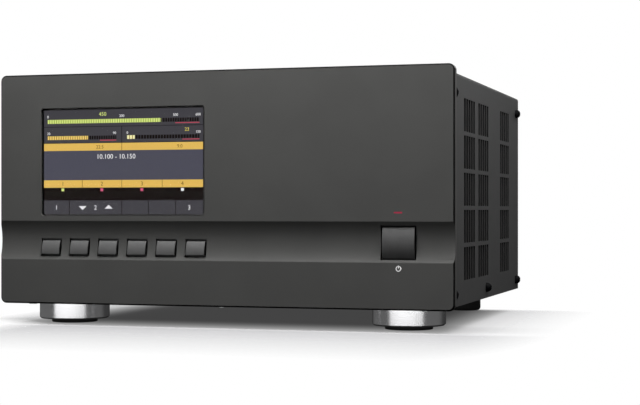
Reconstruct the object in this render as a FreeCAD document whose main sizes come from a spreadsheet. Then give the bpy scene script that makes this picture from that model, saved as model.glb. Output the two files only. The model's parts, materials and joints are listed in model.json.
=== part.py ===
import FreeCAD, Part
import math
import os
import re

import Sketcher

# Desktop radio linear amplifier in separate pieces, in millimetres.
# X runs to the right, Y backwards and Z up; the origin is on the floor, under the middle of the box.
# In the formulas, y is counted backwards from the front panel's face.

SIZES = {
    # front panel: a thick aluminium plate with a shallow hollow across it
    "panel_overhang": 1.0,
    "panel_height": 152.4,
    "panel_thickness": 5.5,
    "panel_corner": 4.0,
    "panel_edge": 1.0,
    "floor_gap": 14.0,
    "hollow_rise": 29.5,
    "hollow_height": 25.6,
    "hollow_depth": 2.5,
    # display
    "window_inset": 29.9,
    "window_rise": 94.2,
    "window_width": 116.3,
    "window_height": 71.2,
    "window_corner": 2.0,
    "window_depth": 1.75,
    "window_ledge": 2.0,
    "window_pane": 1.2,
    "pane_gap": 0.15,
    "gasket_thickness": 0.5,
    "gasket_width": 1.6,
    "display_thickness": 4.2,
    "bracket_sheet": 1.2,
    "bracket_margin": 5.0,
    "spacer_radius": 2.5,
    # six soft keys and the power button
    "key_count": 6,
    "key_pitch": 20.56,
    "key_rise": 37.6,
    "key_width": 13.3,
    "key_height": 9.6,
    "key_gap_x": 0.6,
    "key_gap_z": 1.0,
    "key_slope": 2.6,
    "key_travel": 0.8,
    "key_plunger": 1.5,
    "power_inset": 35.8,
    "power_rise": 42.0,
    "power_width": 20.8,
    "power_height": 20.6,
    "power_gap_x": 1.0,
    "power_gap_z": 0.6,
    "power_crown": 80.0,
    "power_travel": 2.5,
    "power_plunger": 2.8,
    "flange_lip": 1.6,
    "flange_sheet": 1.5,
    "flange_gap": 0.15,
    "plunger_gap": 0.4,
    "key_switch_size": 6.0,
    "key_switch_height": 3.4,
    "plunger_reach": 0.6,
    "well_spare": 0.6,
    "power_switch_size": 12.0,
    "power_switch_height": 6.5,
    # indicator above the power button
    "light_lift": 8.35,
    "light_width": 5.2,
    "light_height": 0.8,
    "light_gap": 0.1,
    "light_pipe_lip": 1.0,
    "led_height": 1.6,
    "led_width": 4.2,
    "led_depth": 1.8,
    # front board
    "board_gap": 12.5,
    "board_sheet": 1.6,
    "board_side_gap": 3.2,
    "board_low_gap": 2.2,
    "board_high_gap": 6.4,
    "hole_inset": 4.0,
    "board_middle_shift": 16.0,
    "standoff_radius": 2.75,
    "small_screw_head": 2.75,
    "small_screw_height": 1.8,
    "processor_size": 20.0,
    "chip_height": 1.6,
    "memory_length": 12.0,
    "memory_width": 8.0,
    "board_can_inset": 79.6,
    "board_can_radius": 4.0,
    "board_can_height": 10.0,
    # wrap-round cover and its vents
    "case_depth": 244.4,
    "cover_sheet": 1.2,
    "cover_drop": 4.8,
    "cover_step": 2.3,
    "cover_bend": 2.0,
    "vent_rows": 5,
    "vent_slots": 5,
    "vent_top_drop": 24.81,
    "vent_bar": 2.56,
    "vent_row_rise": 28.15,
    "vent_slot_pitch": 7.7,
    "vent_strip": 2.0,
    "vent_first_y": 52.1,
    "vent_second_y": 100.6,
    "vent_third_y": 183.7,
    # dome-headed cover screws
    "dome_radius": 3.2,
    "dome_height": 3.7,
    "dome_front_height": 1.3,
    "dome_front_inset": 4.6,
    "dome_shank": 1.95,
    "shank_gap": 0.15,
    "dome_middle_y": 111.7,
    "dome_rear_inset": 9.0,
    "dome_low_rise": 7.3,
    "dome_drop": 12.4,
    "dome_length": 5.5,
    "dome_socket": 1.5,
    "dome_socket_depth": 1.2,
    "dome_front_socket_depth": 0.7,
    # chassis tray, rails and rear panel
    "tray_sheet": 1.5,
    "tray_flange": 14.0,
    "rail_size": 12.0,
    "rail_width": 10.0,
    "rail_screw_inset": 17.8,
    "cap_head_radius": 2.75,
    "cap_head_height": 3.0,
    "cap_shank": 1.45,
    "cap_length": 9.0,
    "cap_panel_gap": 0.25,
    "cap_socket": 1.4,
    "cap_socket_depth": 1.6,
    "tray_wall_gap": 1.0,
    "rear_recess": 1.0,
    "rear_sheet": 1.5,
    "rear_flange": 20.0,
    "rear_flange_gap": 1.0,
    "fit_gap": 0.2,
    # feet
    "foot_side_inset": 36.3,
    "foot_y": 36.0,
    "foot_radius": 23.7,
    "foot_chamfer": 1.0,
    "pad_radius": 15.5,
    "pad_height": 2.6,
    "rear_foot_side_inset": 38.4,
    "rear_foot_inset": 15.4,
    "rear_foot_radius": 12.0,
    "rear_foot_round": 2.5,
    "foot_screw_shank": 2.4,
    "foot_screw_head": 4.5,
    "foot_screw_height": 3.0,
    "foot_head_depth": 6.0,
    "foot_nut_size": 4.6,
    "foot_nut_height": 4.0,
    "foot_well_gap": 0.5,
    "foot_screw_end": 1.0,
    # heat sink and amplifier module, to the right of the bay that holds the power supply
    "bay_width": 128.8,
    "sink_side_gap": 12.8,
    "sink_fan_gap": 14.9,
    "sink_length": 140.0,
    "sink_height": 103.2,
    "sink_base": 9.0,
    "sink_wall": 4.0,
    "fin_height": 48.0,
    "fin_sheet": 2.0,
    "fin_count": 19,
    "module_side_inset": 16.0,
    "module_end_inset": 14.0,
    "transistor_width": 34.0,
    "transistor_depth": 10.0,
    "transistor_height": 5.0,
    "transistor_flange": 2.0,
    "transistor_cap_width": 22.0,
    "transistor_cap_inset": 1.0,
    "transistor_spacing": 60.0,
    "core_width": 34.0,
    "core_depth": 30.0,
    "core_height": 15.0,
    "core_bore": 4.0,
    "core_tube": 3.6,
    "core_tube_out": 3.0,
    "core_tube_bore": 2.7,
    "core_plate": 1.0,
    "core_back_inset": 6.0,
    "core_front_inset": 8.0,
    "small_core": 0.6,
    # filter board on a bridge over the power supply
    "bridge_side_gap": 4.8,
    "middle_gap": 8.0,
    "bridge_front_gap": 10.4,
    "bridge_fan_gap": 10.9,
    "bridge_height": 72.0,
    "bridge_sheet": 1.2,
    "filter_gap": 6.0,
    "filter_inset": 4.0,
    "coil_radius": 9.5,
    "coil_thickness": 3.2,
    "coil_rows": 5,
    "coil_columns": 3,
    "coil_lane_gap": 3.9,
    "coil_start": 20.0,
    "coil_end": 13.0,
    "relay_length": 20.0,
    "relay_width": 10.0,
    "relay_height": 11.0,
    # power supply
    "supply_side_gap": 2.8,
    "supply_foot_gap": 3.4,
    "supply_end_gap": 14.0,
    "supply_board_inset": 3.0,
    "supply_post_inset": 8.0,
    "supply_wall": 36.0,
    "supply_sheet": 1.2,
    "supply_gap": 5.0,
    "choke_size": 34.0,
    "choke_height": 30.0,
    "choke_inset": 12.0,
    "choke_pitch": 42.0,
    "can_radius": 11.0,
    "can_height": 32.0,
    "can_pitch": 26.0,
    "can_count": 4,
    "can_start": 18.0,
    "can_inset": 20.0,
    "can_end": 20.0,
    # fans
    "fan_size": 80.0,
    "fan_depth": 25.0,
    "fan_wall": 2.0,
    "fan_spacing": 4.0,
    "fan_rise": 78.0,
    "fan_hole_inset": 4.25,
    "fan_hole": 2.15,
    "fan_hub": 18.0,
    "fan_hub_plate": 3.0,
    "fan_strut": 4.0,
    "fan_tip_gap": 3.5,
    "fan_blades": 7,
    "fan_blade_sheet": 2.0,
    "fan_blade_reach": 8.5,
    "fan_blade_lean": 7.5,
    "fan_shaft": 1.5,
    "bearing_gap": 0.05,
    "rotor_gap": 1.0,
    "guard_wire": 0.8,
    "guard_edge": 2.0,
    "guard_eye": 1.8,
    "guard_rings": 4,
    "fan_screw_head": 3.35,
    "fan_screw_height": 2.2,
    "fan_screw_inside": 12.0,
    # radio sockets
    "socket_reach": 16.5,
    "socket_flange": 25.4,
    "socket_flange_sheet": 3.0,
    "socket_radius": 7.94,
    "socket_bore": 6.0,
    "socket_core": 5.9,
    "socket_contact": 2.05,
    "socket_contact_depth": 10.0,
    "socket_contact_wall": 0.9,
    "socket_body": 7.6,
    "socket_body_length": 9.0,
    "socket_tail": 4.0,
    "socket_lip": 2.0,
    "socket_hole_pitch": 18.2,
    "socket_screw_inside": 4.0,
    "socket_shift": 1.6,
    "socket_spacing": 60.0,
    "socket_drop": 24.4,
    # earth terminal
    "earth_side": 16.8,
    "earth_drop": 24.0,
    "earth_radius": 2.95,
    "earth_length": 15.5,
    "earth_inside": 8.0,
    "earth_nut_size": 5.6,
    "earth_nut_height": 3.0,
    "wing_bore": 3.03,
    "wing_hub": 5.2,
    "wing_hub_length": 5.0,
    "wing_span": 24.0,
    "wing_sheet": 2.4,
    "wing_height": 8.0,
    "wing_gap": 1.4,
    "wing_root": 1.0,
    "wing_notch": 0.8,
    # mains inlet with a fuse drawer, and the mains rocker
    "inlet_shift": 15.6,
    "inlet_rise": 26.0,
    "inlet_width": 46.0,
    "inlet_height": 38.0,
    "inlet_flange": 2.5,
    "inlet_body_width": 40.0,
    "inlet_body_height": 32.0,
    "inlet_body_depth": 26.0,
    "inlet_socket_width": 25.0,
    "inlet_socket_height": 17.0,
    "inlet_socket_depth": 17.0,
    "inlet_socket_lift": 5.0,
    "inlet_blade_width": 2.0,
    "inlet_blade_height": 4.0,
    "inlet_blade_length": 12.0,
    "inlet_blade_pitch": 7.0,
    "inlet_blade_root": 1.0,
    "inlet_earth_drop": 2.0,
    "drawer_width": 22.0,
    "drawer_height": 7.0,
    "drawer_length": 20.0,
    "drawer_drop": 9.5,
    "drawer_gap": 0.3,
    "drawer_end_gap": 1.0,
    "drawer_proud": 1.0,
    "fuse_radius": 2.7,
    "fuse_wall": 0.5,
    "fuse_inset": 5.0,
    "rocker_spacing": 46.0,
    "rocker_width": 19.0,
    "rocker_radius": 9.0,
    "rocker_gap": 0.4,
    "rocker_wall": 2.0,
    "rocker_flange": 2.0,
    "rocker_lip": 2.0,
    "rocker_tilt": 8.0,
    # data, network and keying sockets
    "data_shift": 11.6,
    "data_drop": 48.0,
    "data_width": 39.2,
    "data_height": 12.5,
    "data_shell_width": 25.0,
    "data_shell_height": 8.4,
    "data_reach": 6.0,
    "data_post_pitch": 33.3,
    "data_post": 2.6,
    "data_post_length": 6.0,
    "data_flange": 1.0,
    "data_inside": 8.0,
    "network_spacing": 40.0,
    "network_width": 16.0,
    "network_height": 14.0,
    "network_depth": 18.0,
    "network_proud": 0.5,
    "network_mouth_width": 11.8,
    "network_mouth_height": 8.0,
    "network_mouth_depth": 12.0,
    "jack_side": 21.0,
    "jack_pitch": 18.0,
    "jack_drop": 24.0,
    "jack_radius": 4.15,
    "jack_length": 9.0,
    "jack_bore": 1.65,
    "jack_bore_depth": 7.5,
    "jack_flange": 6.0,
    "jack_flange_sheet": 1.0,
    "jack_inside": 6.0,
    "jack_nut": 2.5,
    # internal leads
    "coax_radius": 2.4,
    "coax_bend": 9.5,
    "coax_lane": 10.6,
    "coax_turn": 24.0,
    "coax_end": 46.0,
    "ribbon_inset": 55.6,
    "ribbon_width": 26.0,
    "ribbon_sheet": 1.2,
    "ribbon_reach": 5.0,
    "ribbon_under": 20.0,
    "plug_height": 6.0,
    "plug_depth": 6.0,
    "plug_rise": 12.0,
}

# Places and sizes that follow from the ones above.
WORKED_OUT = {
    "rear_face": "case_depth - rear_recess",
    "rear_inner": "rear_face - rear_sheet",
    "front_face_y": "-(rear_face + socket_reach) / 2",
    "panel_width": "cover_width + 2 * panel_overhang",
    "panel_mid": "floor_gap + panel_height / 2",
    "hollow_mid": "floor_gap + hollow_rise + hollow_height / 2",
    "hollow_radius": "hollow_height * hollow_height / (8 * hollow_depth) + hollow_depth / 2",
    "window_x": "window_inset + window_width / 2 - panel_width / 2",
    "window_z": "floor_gap + window_rise",
    "key_first_x": "window_x - (key_count - 1) / 2 * key_pitch",
    "power_x": "panel_width / 2 - power_inset",
    "pane_back": "window_depth + window_pane",
    "display_front": "pane_back + gasket_thickness",
    "display_back": "display_front + display_thickness",
    "ledge_width": "window_width + 2 * window_ledge",
    "ledge_height": "window_height + 2 * window_ledge",
    "pane_width": "ledge_width - 2 * pane_gap",
    "pane_height": "ledge_height - 2 * pane_gap",
    "bracket_width": "ledge_width + 2 * bracket_margin",
    "bracket_height": "ledge_height - window_ledge",
    "key_z": "floor_gap + key_rise",
    "key_face_radius": "(key_slope * key_slope + key_height * key_height) / (2 * key_slope)",
    "power_z": "floor_gap + power_rise",
    "flange_front": "panel_thickness + flange_gap",
    "flange_back": "flange_front + flange_sheet",
    "board_front": "panel_thickness + board_gap",
    "board_back": "board_front + board_sheet",
    "board_right": "inner_half - rail_width - board_side_gap",
    "board_left": "-board_right",
    "board_can_x": "board_right - board_can_inset",
    "ribbon_x": "board_right - ribbon_inset",
    "ribbon_z": "board_bottom + plug_rise + plug_height / 2",
    "board_bottom": "tray_top + rail_size + board_low_gap",
    "board_top": "cover_inner_top - board_high_gap",
    "key_switch_front": "board_front - key_switch_height",
    "power_switch_front": "board_front - power_switch_height",
    "light_z": "power_z + power_height / 2 + light_lift",
    "cover_bottom": "floor_gap + cover_step",
    "cover_top": "floor_gap + panel_height - cover_drop",
    "cover_width": "bay_width + sink_width + sink_side_gap + 2 * cover_sheet",
    "cover_half": "cover_width / 2",
    "inner_half": "cover_width / 2 - cover_sheet",
    "cover_inner_top": "cover_top - cover_sheet",
    "vent_row_pitch": "(cover_top - vent_top_drop - floor_gap - vent_row_rise) / (vent_rows - 1)",
    "vent_row_height": "vent_row_pitch - vent_bar",
    "vent_slot_width": "vent_slot_pitch - vent_strip",
    "tray_top": "cover_bottom + tray_sheet",
    "rail_back": "panel_thickness + rail_size",
    "rail_screw_y": "panel_thickness + cap_head_radius + cap_panel_gap",
    "rail_screw_x": "inner_half - rail_screw_inset",
    "dome_front_y": "panel_thickness + dome_front_inset",
    "dome_rear_y": "rear_inner - dome_rear_inset",
    "dome_low": "cover_bottom + dome_low_rise",
    "dome_high": "cover_top - dome_drop",
    "foot_x": "cover_half - foot_side_inset",
    "rear_foot_x": "cover_half - rear_foot_side_inset",
    "rear_foot_y": "case_depth - rear_foot_inset",
    "sink_width": "2 * fan_size + fan_spacing",
    "sink_left": "inner_half - sink_side_gap - sink_width",
    "bay_middle": "sink_left - bay_width / 2",
    "sink_x": "sink_left + sink_width / 2",
    "sink_y": "fan_front - sink_fan_gap - sink_length",
    "sink_top": "tray_top + sink_height",
    "fin_pitch": "(sink_width - sink_wall) / (fin_count + 1)",
    "module_width": "sink_width - 2 * module_side_inset",
    "module_length": "sink_length - 2 * module_end_inset",
    "module_x": "sink_x - module_width / 2",
    "module_y": "sink_y + (sink_length - module_length) / 2",
    "module_top": "sink_top + board_sheet",
    "transistor_y": "module_y + module_length / 2",
    "bridge_left": "bridge_side_gap - inner_half",
    "bridge_width": "sink_left - middle_gap - bridge_left",
    "bridge_x": "bridge_left + bridge_width / 2",
    "bridge_y": "board_back + bridge_front_gap",
    "bridge_length": "fan_front - bridge_fan_gap - bridge_y",
    "bridge_top": "tray_top + bridge_height",
    "filter_bottom": "bridge_top + filter_gap",
    "filter_top": "filter_bottom + board_sheet",
    "filter_width": "bridge_width - 2 * filter_inset",
    "filter_length": "bridge_length - 2 * filter_inset",
    "coil_pitch_x": "(filter_width - 2 * (coax_lane + coil_lane_gap + coil_radius)) / (coil_columns - 1)",
    "coil_pitch_y": "(filter_length - coil_start - coil_end) / (coil_rows - 0.5)",
    "supply_width": "bridge_width - 2 * (bridge_sheet + supply_side_gap)",
    "supply_left": "bridge_x - supply_width / 2",
    "supply_y": "foot_y + foot_nut_size + supply_foot_gap",
    "supply_length": "bridge_y + bridge_length - supply_end_gap - supply_y",
    "supply_floor": "tray_top + supply_sheet",
    "supply_board_bottom": "supply_floor + supply_gap",
    "supply_board_top": "supply_board_bottom + board_sheet",
    "fan_z": "floor_gap + fan_rise",
    "fan_bore": "fan_size / 2 - fan_wall",
    "fan_tip": "fan_bore - fan_tip_gap",
    "fan_hole_pitch": "fan_size - 2 * fan_hole_inset",
    "guard_pitch": "(fan_bore - guard_edge) / guard_rings",
    "fan_left_x": "sink_left + fan_size / 2",
    "fan_right_x": "fan_left_x + fan_size + fan_spacing",
    "fan_front": "rear_inner - fan_depth",
    "fan_plate": "rear_inner - fan_hub_plate",
    "antenna_x": "bay_middle - socket_shift + socket_spacing / 2",
    "input_x": "antenna_x - socket_spacing",
    "earth_x": "earth_side - inner_half",
    "inlet_x": "bay_middle - inlet_shift",
    "rocker_x": "inlet_x + rocker_spacing",
    "data_x": "bay_middle - data_shift",
    "network_x": "data_x + network_spacing",
    "jack_x": "sink_left - jack_side",
    "socket_z": "cover_inner_top - socket_drop",
    "earth_z": "socket_z - earth_drop",
    "inlet_z": "floor_gap + inlet_rise",
    "data_z": "socket_z - data_drop",
    "jack_z": "socket_z - jack_drop",
    "fuse_length": "drawer_width - 2 * fuse_wall",
    "rocker_case_width": "rocker_width + 2 * rocker_gap + 2 * rocker_wall",
    "rocker_case_height": "2 * (rocker_radius + rocker_gap + rocker_wall)",
}

doc = FreeCAD.newDocument("amplifier")
sheet = doc.addObject("Spreadsheet::Sheet", "sizes")
for row, (name, number) in enumerate(SIZES.items(), start=1):
    sheet.set(f"A{row}", name)
    sheet.set(f"B{row}", str(number))
    sheet.setAlias(f"B{row}", name)
doc.recompute()

PLANES = {"front": "XZ_Plane", "side": "YZ_Plane", "floor": "XY_Plane"}
TURNS = {
    "x": FreeCAD.Rotation(FreeCAD.Vector(0, 1, 0), 90),
    "y": FreeCAD.Rotation(FreeCAD.Vector(1, 0, 0), -90),
    "z": FreeCAD.Rotation(),
}
PAST = 1  # how far a cutting tool runs past the face that it opens
CLOSE = 0.01  # places nearer than this are one place
kept = []
standoffs = []


def formula(text):
    """A formula in the names above, as an expression on the sheet's cells."""
    def swap(match):
        name = match.group(0)
        if name in WORKED_OUT:
            return "(" + formula(WORKED_OUT[name]) + ")"
        if name in SIZES:
            return "sizes." + name
        return name
    return re.sub(r"[a-z]\w*", swap, str(text))


def value(text):
    """The number that a formula gives now."""
    return float(sheet.evalExpression(formula(text)))


def bind(thing, path, text):
    thing.setExpression(path, formula(text))


def keep(thing, label):
    """Names a finished sub-part; its label names its file."""
    thing.Label = label
    kept.append(thing)
    return thing


# ---- sketches and features of a body ----

def new_body(name):
    body = doc.addObject("PartDesign::Body", name)
    bind(body, "Placement.Base.y", "front_face_y")
    return body


def sketch_on(body, plane, depth="0"):
    """A sketch on a plane of the body's own origin, moved by depth along +Y, +X or +Z."""
    sketch = body.newObject("Sketcher::SketchObject", plane + "_sketch")
    support = [item for item in body.Origin.OriginFeatures if item.Role == PLANES[plane]][0]
    sketch.AttachmentSupport = (support, [""])
    sketch.MapMode = "FlatFace"
    bind(sketch, "AttachmentOffset.Base.z", f"-({depth})" if plane == "front" else depth)
    return sketch


def hold(sketch, kind, where, text):
    number = sketch.addConstraint(Sketcher.Constraint(kind, *where, value(text)))
    sketch.setExpression(f"Constraints[{number}]", formula(text))


def polygon(sketch, corners):
    """A closed outline through corners, each a pair of formulas."""
    spots = [FreeCAD.Vector(value(across), value(up), 0) for across, up in corners]
    first = sketch.GeometryCount
    count = len(spots)
    for i in range(count):
        sketch.addGeometry(Part.LineSegment(spots[i], spots[(i + 1) % count]))
    for i in range(count):
        sketch.addConstraint(Sketcher.Constraint("Coincident", first + i, 2, first + (i + 1) % count, 1))
    for i, (across, up) in enumerate(corners):
        hold(sketch, "DistanceX", (-1, 1, first + i, 1), across)
        hold(sketch, "DistanceY", (-1, 1, first + i, 1), up)


def rectangle(sketch, across, up, width, height):
    """A rectangle about its middle."""
    left = f"{across} - ({width}) / 2"
    right = f"{across} + ({width}) / 2"
    low = f"{up} - ({height}) / 2"
    high = f"{up} + ({height}) / 2"
    polygon(sketch, [(left, low), (right, low), (right, high), (left, high)])


def circle(sketch, across, up, radius):
    middle = FreeCAD.Vector(value(across), value(up), 0)
    index = sketch.addGeometry(Part.Circle(middle, FreeCAD.Vector(0, 0, 1), value(radius)))
    hold(sketch, "DistanceX", (-1, 1, index, 3), across)
    hold(sketch, "DistanceY", (-1, 1, index, 3), up)
    hold(sketch, "Radius", (index,), radius)


def pad(body, sketch, length, forward=True, both=False):
    """Adds material along +Y, +X or +Z, or the other way, or to both sides."""
    feature = body.newObject("PartDesign::Pad", "pad")
    feature.Profile = sketch
    bind(feature, "Length", length)
    looks_back = "front" in sketch.Name
    feature.Reversed = looks_back if forward else not looks_back
    if both:
        feature.SideType = "Symmetric"
    doc.recompute()
    return feature


def pocket(body, sketch, length, forward=True, both=False):
    """Cuts along +Y, +X or +Z, or the other way, and makes sure that it cuts."""
    before = body.Shape.Volume
    feature = body.newObject("PartDesign::Pocket", "pocket")
    feature.Profile = sketch
    bind(feature, "Length", length)
    looks_back = "front" in sketch.Name
    feature.Reversed = (not looks_back) if forward else looks_back
    if both:
        feature.SideType = "Symmetric"
    doc.recompute()
    if not body.Shape.Volume < before:
        raise ValueError("a pocket of " + body.Name + " cuts nothing")
    return feature


def row_of(body, feature, sketch, axis, count, pitch):
    """Repeats a feature along a sketch's axis."""
    pattern = body.newObject("PartDesign::LinearPattern", "pattern")
    pattern.Originals = [feature]
    pattern.Direction = (sketch, [axis])
    bind(pattern, "Length", f"({pitch}) * ({count} - 1)")
    bind(pattern, "Occurrences", count)
    body.Tip = pattern
    doc.recompute()
    return pattern


def edges_where(feature, test):
    """Names of the edges whose middle and direction pass a test."""
    names = []
    for number, edge in enumerate(feature.Shape.Edges, start=1):
        middle = edge.valueAt((edge.FirstParameter + edge.LastParameter) / 2)
        if test(edge, middle):
            names.append(f"Edge{number}")
    return names


def along(edge, axis):
    """True for a straight edge along an axis."""
    if not isinstance(edge.Curve, Part.Line):
        return False
    return abs(getattr(edge.tangentAt(edge.FirstParameter), axis)) > 1 - CLOSE


def dress(body, kind, feature, names, size_name, size):
    """A fillet or chamfer on named edges."""
    dressed = body.newObject("PartDesign::" + kind, kind.lower())
    dressed.Base = (feature, names)
    bind(dressed, size_name, size)
    doc.recompute()
    return dressed


# ---- primitives and booleans ----

def put(thing, x, y, z):
    bind(thing, "Placement.Base.x", x)
    bind(thing, "Placement.Base.y", f"front_face_y + ({y})")
    bind(thing, "Placement.Base.z", z)


def box(x, y, z, length, width, height):
    """A block from its low corner."""
    block = doc.addObject("Part::Box", "block")
    put(block, x, y, z)
    bind(block, "Length", length)
    bind(block, "Width", width)
    bind(block, "Height", height)
    return block


def rod(axis, x, y, z, radius, length):
    """A round bar that runs from a point along an axis."""
    bar = doc.addObject("Part::Cylinder", "bar")
    bar.Placement = FreeCAD.Placement(FreeCAD.Vector(), TURNS[axis])
    put(bar, x, y, z)
    bind(bar, "Radius", radius)
    bind(bar, "Height", length)
    return bar


def prism(axis, x, y, z, radius, length, sides=6):
    """A bar with flats, such as a nut, across its corners."""
    bar = doc.addObject("Part::Prism", "prism")
    bar.Placement = FreeCAD.Placement(FreeCAD.Vector(), TURNS[axis])
    bar.Polygon = sides
    put(bar, x, y, z)
    bind(bar, "Circumradius", radius)
    bind(bar, "Height", length)
    return bar


def join(*pieces):
    if len(pieces) == 1:
        return pieces[0]
    whole = doc.addObject("Part::MultiFuse", "join")
    whole.Shapes = list(pieces)
    return whole


def cut(base, *tools):
    rest = doc.addObject("Part::Cut", "cut")
    rest.Base = base
    rest.Tool = join(*tools)
    return rest


def common(first, second):
    shared = doc.addObject("Part::Common", "common")
    shared.Base = first
    shared.Tool = second
    return shared


def group(pieces):
    """Separate solids that share one sub-part."""
    whole = doc.addObject("Part::Compound", "group")
    whole.Links = list(pieces)
    return whole


def centred(x, y, z, length, width, height):
    """A block centred in x and z, from its front face y backwards."""
    return box(f"{x} - ({length}) / 2", y, f"{z} - ({height}) / 2", length, width, height)


# ---- front panel and display ----

def front_panel():
    body = new_body("front_panel")
    outline = sketch_on(body, "front")
    rectangle(outline, "0", "panel_mid", "panel_width", "panel_height")
    plate = pad(body, outline, "panel_thickness")
    corners = edges_where(plate, lambda edge, middle: along(edge, "y"))
    rounded = dress(body, "Fillet", plate, corners, "Radius", "panel_corner")
    rim = edges_where(rounded, lambda edge, middle: middle.y < CLOSE)
    dress(body, "Chamfer", rounded, rim, "Size", "panel_edge")

    hollow = sketch_on(body, "side")
    circle(hollow, "hollow_depth - hollow_radius", "hollow_mid", "hollow_radius")
    pocket(body, hollow, f"panel_width + {2 * PAST}", both=True)

    opening = sketch_on(body, "front")
    rectangle(opening, "window_x", "window_z", "window_width", "window_height")
    window = pocket(body, opening, "panel_thickness")
    low = value("window_z - window_height / 2")
    high = value("window_z + window_height / 2")
    left = value("window_x - window_width / 2")
    right = value("window_x + window_width / 2")

    def at_corner(edge, middle):
        beside = min(abs(middle.x - left), abs(middle.x - right)) < CLOSE
        level = min(abs(middle.z - low), abs(middle.z - high)) < CLOSE
        return along(edge, "y") and beside and level

    dress(body, "Fillet", window, edges_where(window, at_corner), "Radius", "window_corner")
    ledge = sketch_on(body, "front", "window_depth")
    rectangle(ledge, "window_x", "window_z", "ledge_width", "ledge_height")
    pocket(body, ledge, "panel_thickness")

    others = sketch_on(body, "front")
    rectangle(others, "power_x", "power_z", "power_width + 2 * power_gap_x",
              "power_height + 2 * power_gap_z")
    rectangle(others, "power_x", "light_z", "light_width + 2 * light_gap", "light_height + 2 * light_gap")
    pocket(body, others, "panel_thickness")

    opening = sketch_on(body, "front")
    rectangle(opening, "key_first_x", "key_z", "key_width + 2 * key_gap_x", "key_height + 2 * key_gap_z")
    first = pocket(body, opening, "panel_thickness")
    row_of(body, first, opening, "H_Axis", "key_count", "key_pitch")
    keep(body, "front_panel")


def display():
    pane = centred("window_x", "window_depth", "window_z", "pane_width", "window_pane", "pane_height")
    keep(pane, "display_window")
    ring = centred("window_x", "pane_back", "window_z", "pane_width", "gasket_thickness", "pane_height")
    hole = centred("window_x", f"pane_back - {PAST}", "window_z", "pane_width - 2 * gasket_width",
                   f"gasket_thickness + {2 * PAST}", "pane_height - 2 * gasket_width")
    keep(cut(ring, hole), "display_gasket")
    module = centred("window_x", "display_front", "window_z", "pane_width", "display_thickness",
                     "pane_height")
    keep(module, "display_module")
    plate = centred("window_x", "display_back", "window_z", "bracket_width", "bracket_sheet",
                    "bracket_height")
    spacers = []
    for side in ("-", "+"):
        for end in ("-", "+"):
            x = f"window_x {side} (bracket_width / 2 - bracket_margin / 2)"
            z = f"window_z {end} (bracket_height / 2 - bracket_margin)"
            spacers.append(rod("y", x, "panel_thickness", z, "spacer_radius",
                               "display_back - panel_thickness"))
    keep(join(plate, *spacers), "display_bracket")


# ---- keys, power button and their switches ----

def plunged(cap, x, z, width, height, radius, tip):
    """A cap with a lip behind the panel and a plunger that reaches its switch."""
    lip = centred(x, "flange_front", z, f"{width} + 2 * flange_lip", "flange_sheet",
                  f"{height} + 2 * flange_lip")
    plunger = rod("y", x, "flange_back", z, radius, f"{tip} - (flange_back)")
    return join(cap, lip, plunger)


def switch(x, z, size, front, plunger, travel):
    """A switch housing with a well that the plunger enters at rest and travels down."""
    housing = centred(x, front, z, size, f"board_front - ({front})", size)
    depth = f"plunger_reach + {travel} + well_spare"
    well = rod("y", x, f"{front} - {PAST}", z, f"{plunger} + plunger_gap", f"{depth} + {PAST}")
    return cut(housing, well)


def soft_keys():
    switches = []
    for number in range(int(value("key_count"))):
        x = f"key_first_x + {number} * key_pitch"
        block = centred(x, "0", "key_z", "key_width", "flange_front", "key_height")
        crown = rod("x", f"{x} - key_width", "key_face_radius", "key_z - key_height / 2",
                    "key_face_radius", "2 * key_width")
        cap = common(block, crown)
        key = plunged(cap, x, "key_z", "key_width", "key_height", "key_plunger",
                      "key_switch_front + plunger_reach")
        keep(key, f"soft_key_{number + 1}")
        switches.append(switch(x, "key_z", "key_switch_size", "key_switch_front", "key_plunger",
                               "key_travel"))
    return switches


def power_button():
    block = centred("power_x", "0", "power_z", "power_width", "flange_front", "power_height")
    crown = rod("x", "power_x - power_width", "power_crown", "power_z", "power_crown", "2 * power_width")
    cap = common(block, crown)
    button = plunged(cap, "power_x", "power_z", "power_width", "power_height", "power_plunger",
                     "power_switch_front + plunger_reach")
    keep(button, "power_button")
    return switch("power_x", "power_z", "power_switch_size", "power_switch_front", "power_plunger",
                  "power_travel")


def buttons():
    keep(group(soft_keys() + [power_button()]), "button_switches")


def indicator():
    light_back = "board_front - led_height"
    pipe = centred("power_x", "0", "light_z", "light_width", "panel_thickness", "light_height")
    stem = centred("power_x", "panel_thickness", "light_z", "light_width + 2 * light_pipe_lip",
                   f"{light_back} - panel_thickness", "light_height + 2 * light_pipe_lip")
    keep(join(pipe, stem), "light_pipe")


# ---- front board ----

STANDOFFS = [
    ("board_left + hole_inset", "board_bottom + hole_inset"),
    ("board_right - hole_inset", "board_bottom + hole_inset"),
    ("board_left + hole_inset", "board_top - hole_inset"),
    ("board_right - hole_inset", "board_top - hole_inset"),
    ("board_middle_shift", "board_bottom + hole_inset"),
    ("board_middle_shift", "board_top - hole_inset"),
]


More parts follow.
